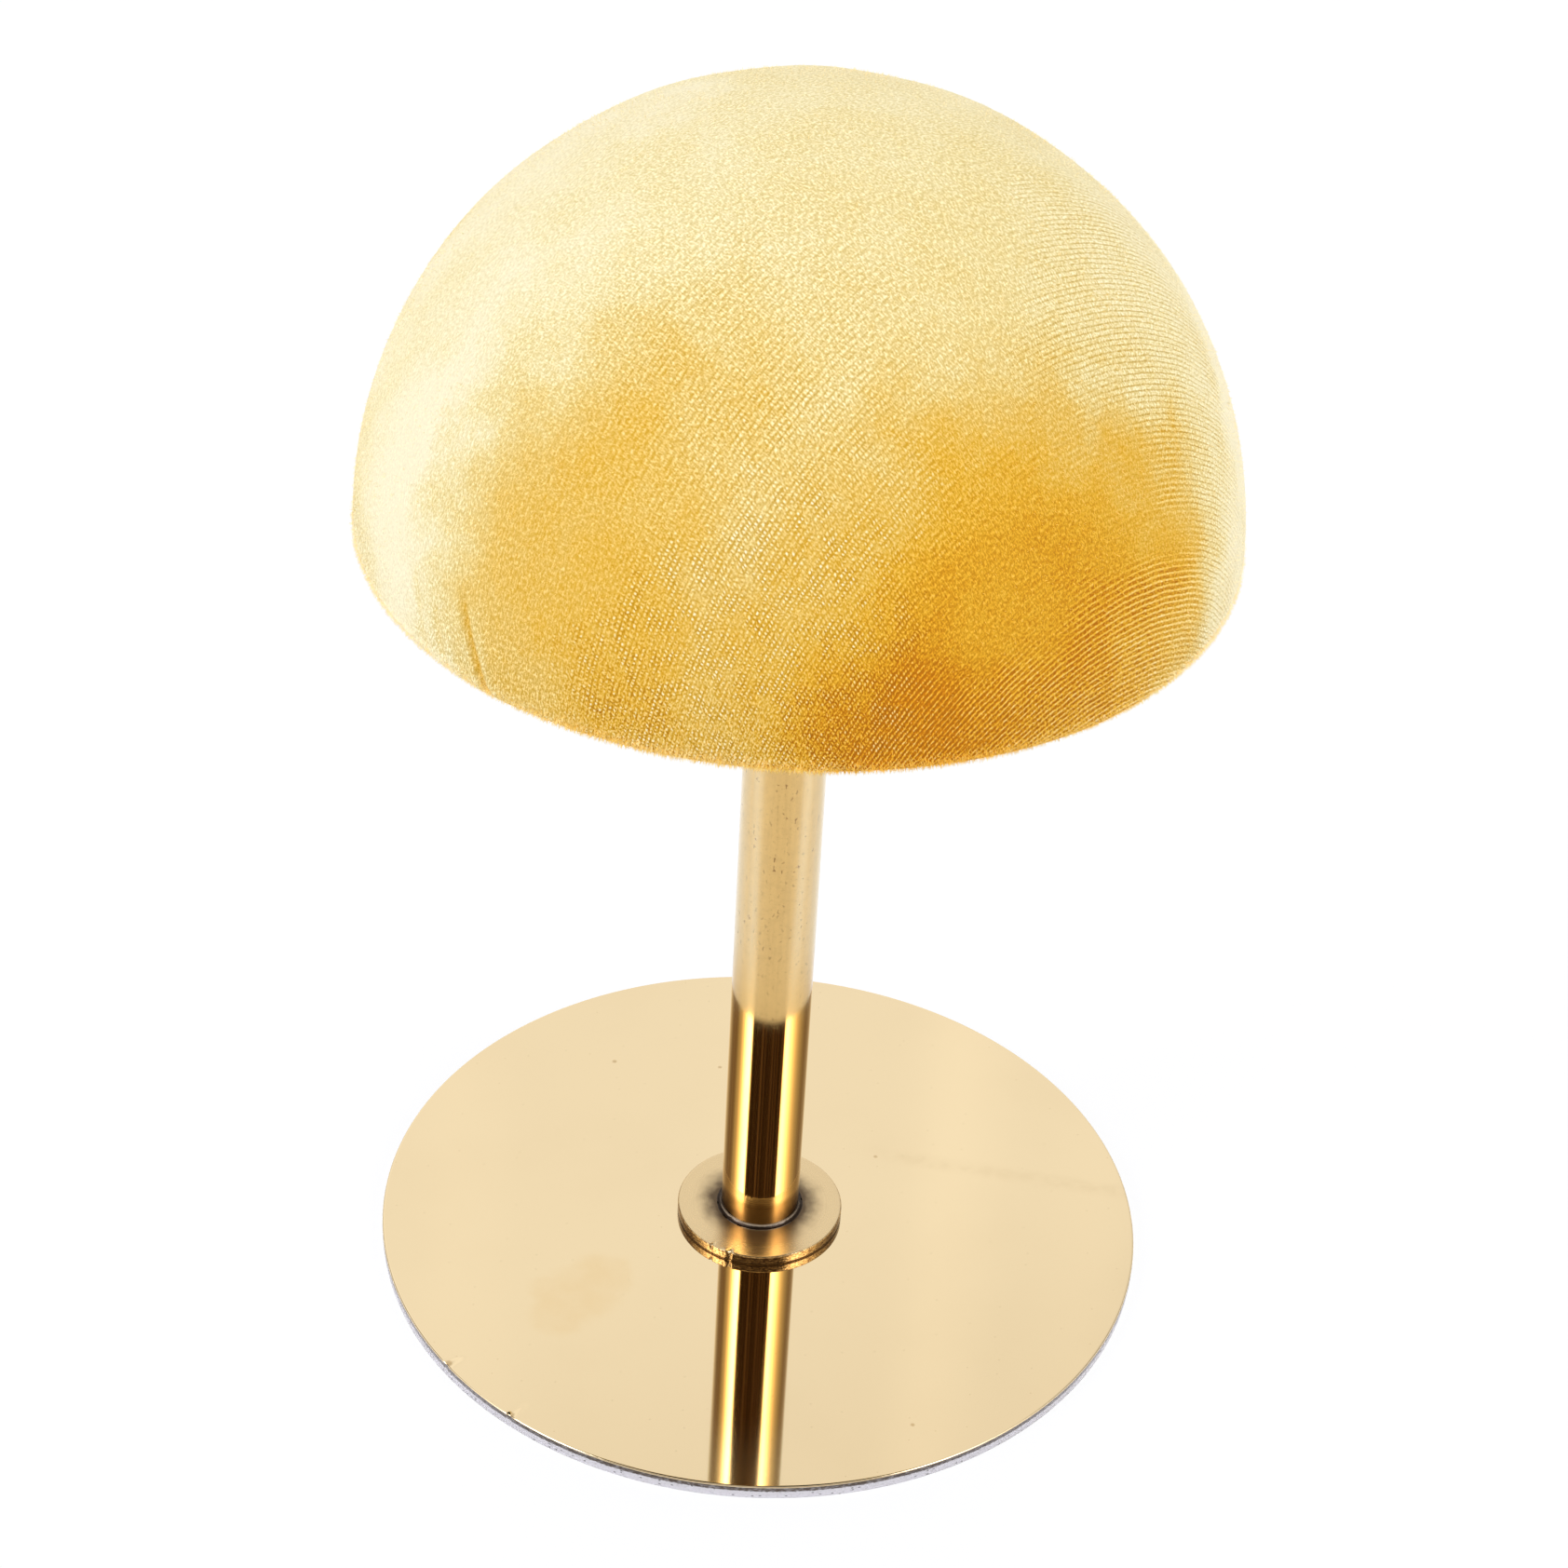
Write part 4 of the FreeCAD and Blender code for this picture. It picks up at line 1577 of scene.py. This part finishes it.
            # painted shade in the valley and painted light on the ridges beside it
            folds = folds + (fold.depth / 0.5) ** 1.5 * along * (valley - ridges * 0.35)
        return height, folds

    def cloth_levels(self, outer: float) -> np.ndarray:
        """The distances across the rows of the mesh's lines, four to a row and closer at the ends.

        Args:
            outer: The distance from the top at which the lines end.

        Returns:
            The distances, from the smallest to the largest.
        """
        quarter = self.row_pitch / 4
        most = int(outer / quarter - 0.2)
        inner = np.arange(-most, most + 1) * quarter
        ends = outer * np.cos(np.radians([0.0, 1.2, 2.4]))
        ends = ends[ends > inner[-1] + 0.02]
        return np.concatenate([-ends, inner, ends[::-1]])

    def skin(
        self,
    ) -> tuple[np.ndarray, list[tuple[int, ...]], np.ndarray, np.ndarray, list[int], float]:
        """The velvet from the top to just under the rim, on lines that follow its rows.

        Returns:
            Its points, faces, places on the cloth, fold depths, rim loop and the rim loop's reach.
        """
        outer = self.rim_reach + 1.0
        levels = self.cloth_levels(outer)
        shares = np.sin(math.pi / 2 * np.linspace(-1, 1, self.columns + 1))
        half = np.sqrt(np.maximum(outer**2 - levels**2, 0))[1:-1]
        u = half[:, None] * shares[None, :]
        v = np.repeat(levels[1:-1, None], self.columns + 1, axis=1)
        u = np.concatenate([[0.0], u.ravel(), [0.0]])
        v = np.concatenate([[levels[0]], v.ravel(), [levels[-1]]])
        reach = np.minimum(np.hypot(u, v), outer)
        azimuth = self.turn_on_rows(u, v)
        points, normals = self.surface(azimuth, reach)
        height, folds = self.relief(azimuth, reach, v)
        points = points + normals * height[:, None]
        rows, wide, last = len(levels) - 2, self.columns + 1, len(u) - 1
        faces: list[tuple[int, ...]] = []
        for i in range(self.columns):
            faces.append((0, 1 + i + 1, 1 + i))
            top = 1 + (rows - 1) * wide
            faces.append((last, top + i, top + i + 1))
        for j in range(rows - 1):
            a, b = 1 + j * wide, 1 + (j + 1) * wide
            faces.extend((a + i, a + i + 1, b + i + 1, b + i) for i in range(self.columns))
        front = [1 + j * wide + self.columns for j in range(rows)]
        back = [1 + j * wide for j in range(rows - 1, -1, -1)]
        return points, faces, np.stack([u, v], -1), folds, [0] + front + [last] + back, outer

    def build(self) -> bpy.types.Object:
        """Makes and dresses the closed, padded half ball.

        Returns:
            The piece.
        """
        points, faces, cloth, folds, loop, outer = self.skin()
        azimuth = self.turn_on_rows(cloth[loop, 0], cloth[loop, 1])
        flat_end = self.rim_reach + self.rim_centre - self.margin_end
        pleat = np.abs(Ripple(43, 30, 84, 0.0, 12).at(azimuth))
        rings, cloths = [points], [cloth]
        side = np.stack([np.sin(azimuth), -np.cos(azimuth)], -1)
        for reach in np.append(np.arange(outer + 1.5, flat_end - 1.0, self.ring_step), flat_end):
            ring, _ = self.surface(azimuth, np.full(len(loop), reach))
            ring[:, 2] += pleat * self.pleat_height * eased(np.array(reach), outer, outer + 7.0)
            rings.append(ring)
            cloths.append(cloth[loop] * reach / outer)
        inside = self.rim_level - self.rim_radius + self.cloth_thickness
        for radius, level in (
            (self.margin_end, inside),
            (self.pocket_radius, inside),
            (self.pocket_radius, self.pocket_top),
            (self.nut_pocket_radius, self.pocket_top),
            (self.nut_pocket_radius, self.nut_pocket_top),
        ):
            rings.append(np.concatenate([side * radius, np.full((len(loop), 1), level)], 1))
            cloths.append(side * radius)
        rings.append(np.array([[0.0, 0.0, self.nut_pocket_top]]))
        cloths.append(np.zeros((1, 2)))
        before, start = loop, len(points)
        for ring in rings[1:-1]:
            now = list(range(start, start + len(loop)))
            for k in range(len(loop)):
                n = (k + 1) % len(loop)
                faces.append((before[k], now[k], now[n], before[n]))
            before, start = now, start + len(loop)
        faces.extend((before[k], start, before[(k + 1) % len(loop)]) for k in range(len(loop)))
        shell = np.concatenate(rings)
        folds = np.concatenate([folds, np.zeros(len(shell) - len(folds))])
        cloth = np.concatenate(cloths)
        piece = dressed_mesh("velvet_dome", shell, faces, GoldVelvet(), 75.0, cloth, folds)
        seat(piece, Body.DOME, Slot.VELVET, "velvet_cover", "foam_core")
        return piece


@dataclass
class PileFringe:
    """The pile's tips that stand out of the velvet, thick along the rim and thin over the ball.

    Sizes are in millimetres. rim_place and rim_spread say how the tips gather below the ball's edge;
    lean is the least and most that a tip leans down and scatter how far it strays to any side.
    """

    dome: VelvetDome
    rim_tips: int = 17000
    ball_tips: int = 15000
    rim_length: Range = (0.5, 1.15)
    ball_length: Range = (0.4, 0.75)
    rim_place: float = 1.6
    rim_spread: float = 1.0
    lean: Range = (0.1, 0.9)
    scatter: float = 0.35
    tip_radius: float = 0.06
    root_depth: float = 0.1
    seed: int = 51

    def roots(self, draw: np.random.Generator) -> tuple[np.ndarray, np.ndarray, np.ndarray]:
        """Where the tips stand.

        Args:
            draw: The source of the random numbers.

        Returns:
            Their azimuths, their distances from the top and their lengths.
        """
        ball_reach = self.dome.ball_radius * np.arccos(draw.uniform(0.02, 1.0, self.ball_tips))
        rim_reach = self.dome.ball_reach + draw.normal(self.rim_place, self.rim_spread, self.rim_tips)
        reach = np.concatenate([ball_reach, np.clip(rim_reach, 0, self.dome.rim_reach + 1.0)])
        azimuth = draw.uniform(0, TURN, len(reach))
        ball_length = draw.uniform(*self.ball_length, self.ball_tips)
        rim_length = draw.uniform(*self.rim_length, self.rim_tips)
        return azimuth, reach, np.concatenate([ball_length, rim_length])

    def build(self) -> bpy.types.Object:
        """Makes and dresses the tips as slender spikes.

        Returns:
            The piece.
        """
        draw = np.random.default_rng(self.seed)
        azimuth, reach, length = self.roots(draw)
        foot, normal = self.dome.surface(azimuth, reach)
        _, ahead = self.dome.surface(azimuth, reach + 0.5)
        down = np.stack([np.zeros_like(reach), np.zeros_like(reach), -np.ones_like(reach)], -1)
        downhill = down - normal * (down * normal).sum(-1, keepdims=True)
        heading = normal + downhill * draw.uniform(*self.lean, (len(reach), 1))
        heading = heading + draw.normal(0, self.scatter, normal.shape)
        heading /= np.linalg.norm(heading, axis=-1, keepdims=True)
        first = np.cross(heading, ahead + 0.3)
        first /= np.linalg.norm(first, axis=-1, keepdims=True)
        second = np.cross(heading, first)
        base = foot - normal * self.root_depth
        corners = [
            base + self.tip_radius * (math.cos(a) * first + math.sin(a) * second)
            for a in (0.0, TURN / 3, 2 * TURN / 3)
        ]
        corners.append(base + heading * length[:, None])
        points = np.stack(corners, 1).reshape(-1, 3)
        faces = []
        for i in range(0, len(points), 4):
            faces.extend([(i, i + 2, i + 1), (i, i + 1, i + 3), (i + 1, i + 2, i + 3), (i + 2, i, i + 3)])
        cloth = np.repeat(self.dome.cloth_at(azimuth, reach), 4, axis=0)
        piece = dressed_mesh("velvet_pile_tips", points, faces, VelvetFringe(), 180.0, cloth)
        return seat(piece, Body.DOME, Slot.VELVET)


@dataclass
class DustCover:
    """The black cloth disc under the dome, drawn over the staples and glued along its lip.

    Sizes are in millimetres. A range is the two radii between which its part fades in or out.
    """

    hole_radius: float = 14.0
    outer_radius: float = 72.48
    board_level: float = 169.97
    low_level: float = 167.98
    lip_level: float = 168.52
    board_edge: float = 52.48
    slope_end: float = 55.0
    low_end: float = 66.98
    lip_start: float = 69.48
    thickness: float = 0.4
    staple_radius: float = 60.98
    staple_ends: Range = (4.2, 5.6)
    staple_width: float = 1.1
    staple_rise: float = 0.30
    staples: int = 20
    pucker_start: Range = (42.0, 53.0)
    pucker_stop: Range = (67.0, 71.0)
    pucker_depth: float = 0.35
    sag_start: Range = (18.0, 30.0)
    sag_stop: Range = (40.0, 51.0)
    sag_depth: float = 0.35
    edge_wander: float = 0.18
    segments: int = 480

    def upper_level(self, radius: np.ndarray) -> np.ndarray:
        """The level of the cloth's upper face.

        Args:
            radius: Distances from the axis.

        Returns:
            The level at each.
        """
        knots = [self.hole_radius, self.board_edge, self.slope_end]
        knots += [self.low_end, self.lip_start, self.outer_radius]
        levels = [self.board_level] * 2 + [self.low_level] * 2 + [self.lip_level] * 2
        return np.interp(radius, knots, levels)

    def shape(self, angle: np.ndarray, radius: np.ndarray, level: np.ndarray) -> Pair:
        """Lets the staples show through and puckers the cloth between them.

        Args:
            angle: Each corner's angle.
            radius: Each corner's radius.
            level: Each corner's level.

        Returns:
            The new radius and level.
        """
        phase = angle * self.staples / TURN - 0.5
        along = np.abs(phase - np.round(phase)) * TURN * self.staple_radius / self.staples
        hump = (1 - eased(along, *self.staple_ends)) * bell(radius - self.staple_radius, self.staple_width)
        ring = eased(radius, *self.pucker_start) * (1 - eased(radius, *self.pucker_stop))
        pucker = np.maximum(Ripple(61, 24, 70, 0.0, 10).at(angle), 0) * ring
        sag = eased(radius, *self.sag_start) * (1 - eased(radius, *self.sag_stop))
        sag = sag * (0.5 + 0.5 * Ripple(62, 2, 7).at(angle))
        level = level - hump * self.staple_rise - pucker * self.pucker_depth - sag * self.sag_depth
        at_edge = radius > self.outer_radius - 0.1
        return radius + at_edge * Ripple(63, 9, 60).at(angle) * self.edge_wander, level

    def build(self) -> bpy.types.Object:
        """Makes and dresses the cloth disc.

        Returns:
            The piece.
        """
        inner, outer = np.linspace(self.hole_radius, 50.0, 14), np.linspace(51.5, self.outer_radius, 22)
        radii = np.concatenate([inner, outer])
        upper = self.upper_level(radii)
        under = [(r, z - self.thickness) for r, z in zip(radii, upper)]
        over = list(zip(radii[::-1], upper[::-1]))
        piece = turned("dust_cover_cloth", under + over, self.segments, DustCloth(), self.shape, 60.0)
        seat(piece, Body.DOME, Slot.DUST_CLOTH, "dust_cover")
        return piece


@dataclass
class DomeCore:
    """The parts between the pole and the foam: washer, board, nut and staples."""

    def build(self) -> None:
        """Dresses the carried-over nodes."""
        finishes = {
            "head_washer": WhiteNylon(),
            "dome_board": Plywood(),
            "tee_nut": ZincSteel(),
            "cover_staples": StapleWire(),
        }
        for node, finish in finishes.items():
            dress_node(node, finish)
            LOG.info("%s: carried over", node)


@dataclass(frozen=True)
class CameraView:
    """The camera's place in millimetres and its turns in degrees."""

    lens: float = 78.803
    sensor: float = 36.0
    place: tuple[float, float, float] = (-4.6292, -534.2833, 486.1948)
    pitch: float = 35.0514
    yaw: float = 0.5037
    roll: float = 3.2831

    def build(self) -> None:
        """Makes the camera and makes it the scene's."""
        pitch, yaw, roll = (math.radians(a) for a in (self.pitch, self.yaw, self.roll))
        flat = math.cos(pitch)
        ahead = Vector((math.sin(yaw) * flat, math.cos(yaw) * flat, -math.sin(pitch)))
        level = Vector((math.cos(yaw), -math.sin(yaw), 0.0))
        upright = level.cross(ahead)
        right = level * math.cos(roll) + upright * math.sin(roll)
        up = upright * math.cos(roll) - level * math.sin(roll)
        data = bpy.data.cameras.new("camera")
        data.lens, data.sensor_width = self.lens, self.sensor
        camera = bpy.data.objects.new("camera", data)
        bpy.context.scene.collection.objects.link(camera)
        turn = Matrix((right, up, -ahead)).transposed().to_4x4()
        camera.matrix_world = Matrix.Translation(Vector(self.place) * MM) @ turn
        bpy.context.scene.camera = camera


@dataclass(frozen=True)
class Studio:
    """A pale floor under a soft tent: two broad soft boxes at the sides, and a dark side to the front.

    around gives the tent's brightness by azimuth in degrees, from the front and positive to the right.
    low_edge and high_edge are elevations in degrees, and the floor's radii are in metres.
    """

    around: tuple[tuple[float, float], ...] = (
        (-180.0, 1.0),
        (-168.0, 1.0),
        (-156.0, 0.82),
        (-146.0, 0.56),
        (-136.0, 0.34),
        (-124.0, 0.23),
        (-113.0, 0.22),
        (-104.0, 0.33),
        (-96.0, 0.53),
        (-89.0, 0.82),
        (-82.0, 1.45),
        (-76.0, 2.5),
        (-70.0, 5.0),
        (-64.0, 7.8),
        (-53.0, 9.0),
        (-47.0, 0.035),
        (43.5, 0.035),
        (48.0, 5.4),
        (54.0, 7.0),
        (61.0, 5.4),
        (68.0, 3.3),
        (75.0, 2.3),
        (82.0, 1.45),
        (90.0, 0.92),
        (100.0, 0.60),
        (112.0, 0.36),
        (126.0, 0.26),
        (140.0, 0.34),
        (152.0, 0.55),
        (162.0, 0.80),
        (172.0, 1.0),
    )
    overhead: float = 0.96
    horizon: float = 1.1
    low_edge: Range = (12.0, 31.0)
    high_edge: Range = (48.0, 61.0)
    folds: float = 50.0
    fold_light: float = 0.09
    dark_tint: Colour = (1.0, 0.62, 0.5)
    dark_levels: Range = (0.0, 0.45)
    lamp_tint: Colour = (0.88, 0.92, 1.15)
    lamp_levels: Range = (1.3, 4.5)
    floor_radii: tuple[float, ...] = (0.0768, 0.3, 1.2, 4.0)
    floor_level: float = -0.00005
    floor_segments: int = 96
    floor_white: float = 0.94
    # painted shade: the floor's colour towards the front
    floor_front_shade: float = 0.835
    floor_glow: float = 0.88
    glow_strength: float = 1.02

    def seen_directly(self, net: Net) -> Sock:
        """1 for the rays that come from the camera."""
        return net.add("LightPath", out="Is Camera Ray")

    def world(self) -> None:
        """The light of the tent, by direction, with a plain white background."""
        made = bpy.data.worlds.new("studio")
        made.use_nodes = True
        net = Net(made.node_tree)
        x, y, z = net.parts(net.add("TexCoord", out="Generated"))
        peak = max(level for _, level in self.around)
        azimuth = net.azimuth(x, y) / TURN + 0.5
        ring = net.ramp(azimuth, [(a / 360.0 + 0.5, (level / peak,) * 3) for a, level in self.around])
        elevation = z.math("ARCSINE") * (180.0 / math.pi)
        low = elevation.smooth(*self.low_edge)
        high = elevation.smooth(*self.high_edge)
        side = net.parts(ring)[0] * peak
        folds = net.noise(net.joined(azimuth * self.folds, 0.0, 0.0), scale=1.0, detail=2.0)
        side = side + folds.smooth(0.46, 0.64) * self.fold_light
        light = (side * low + (1 - low) * self.horizon) * (1 - high) + high * self.overhead
        direct = self.seen_directly(net)
        strength = net.add("Mix", inputs={0: direct, 2: light, 3: 1.0})
        plain = (light.smooth(*self.dark_levels) + direct).math("MINIMUM", 1.0)
        tint = net.mix(plain, self.dark_tint, WHITE)
        tint = net.mix(light.smooth(*self.lamp_levels) * (1 - direct), tint, self.lamp_tint)
        background = net.add("Background", inputs={"Color": tint, "Strength": strength})
        net.add("OutputWorld", inputs={"Surface": background}, out=None)
        bpy.context.scene.world = made

    def floor(self) -> None:
        """The floor, which is white to the camera and keeps the stand's soft shadow.

        It is open under the plate, so that the light below it shows the underside in a view from there.
        """
        material = bpy.data.materials.new("floor_white")
        material.use_nodes = True
        net = Net(material.node_tree)
        x, y, _ = net.parts(net.place())
        # painted shade: the floor is darker towards the front, the camera's side
        front = (y * -1.0 / net.radius(x, y)).smooth(0.30, 0.95)
        shade = net.mix(front, (self.floor_white,) * 3, (self.floor_front_shade,) * 3)
        paper = net.surface(shade, 1.0, Specular_IOR_Level=0.0)
        glow = net.add("Emission", inputs={"Color": opaque(WHITE), "Strength": self.glow_strength})
        lit = net.add("MixShader", inputs={0: self.floor_glow, 1: paper, 2: glow})
        direct = self.seen_directly(net)
        shown = net.add("MixShader", inputs={0: direct, 1: paper, 2: lit})
        behind = net.add("NewGeometry", out="Backfacing")
        clear = net.add("BsdfTransparent")
        surface = net.add("MixShader", inputs={0: behind, 1: shown, 2: clear})
        net.add("OutputMaterial", inputs={"Surface": surface}, out=None)
        count = self.floor_segments
        angles = np.linspace(0, TURN, count, endpoint=False)
        circle = np.stack([np.cos(angles), np.sin(angles)], -1)
        flat = np.concatenate([circle * r for r in self.floor_radii])
        points = np.concatenate([flat, np.full((len(flat), 1), self.floor_level)], 1)
        mesh = bpy.data.meshes.new("floor")
        faces: list[tuple[int, ...]] = []
        for ring in range(len(self.floor_radii) - 1):
            a, b = ring * count, (ring + 1) * count
            faces.extend((a + i, b + i, b + (i + 1) % count, a + (i + 1) % count) for i in range(count))
        mesh.from_pydata(points.tolist(), [], faces)
        mesh.materials.append(material)
        ground = bpy.data.objects.new("floor", mesh)
        bpy.context.scene.collection.objects.link(ground)

    def build(self) -> None:
        """Makes the floor and the light, and leaves colours as they are written."""
        self.floor()
        self.world()
        bpy.context.scene.view_settings.view_transform = "Standard"


def main() -> None:
    """Builds the camera, the studio and every piece in order."""
    logging.basicConfig(level=logging.INFO, format="%(name)s: %(message)s")
    CameraView().build()
    Studio().build()
    BasePlate().build()
    PoleFoot().build()
    Pole().build()
    DomeCore().build()
    dome = VelvetDome()
    dome.build()
    PileFringe(dome).build()
    DustCover().build()


if __name__ == "__main__":
    main()
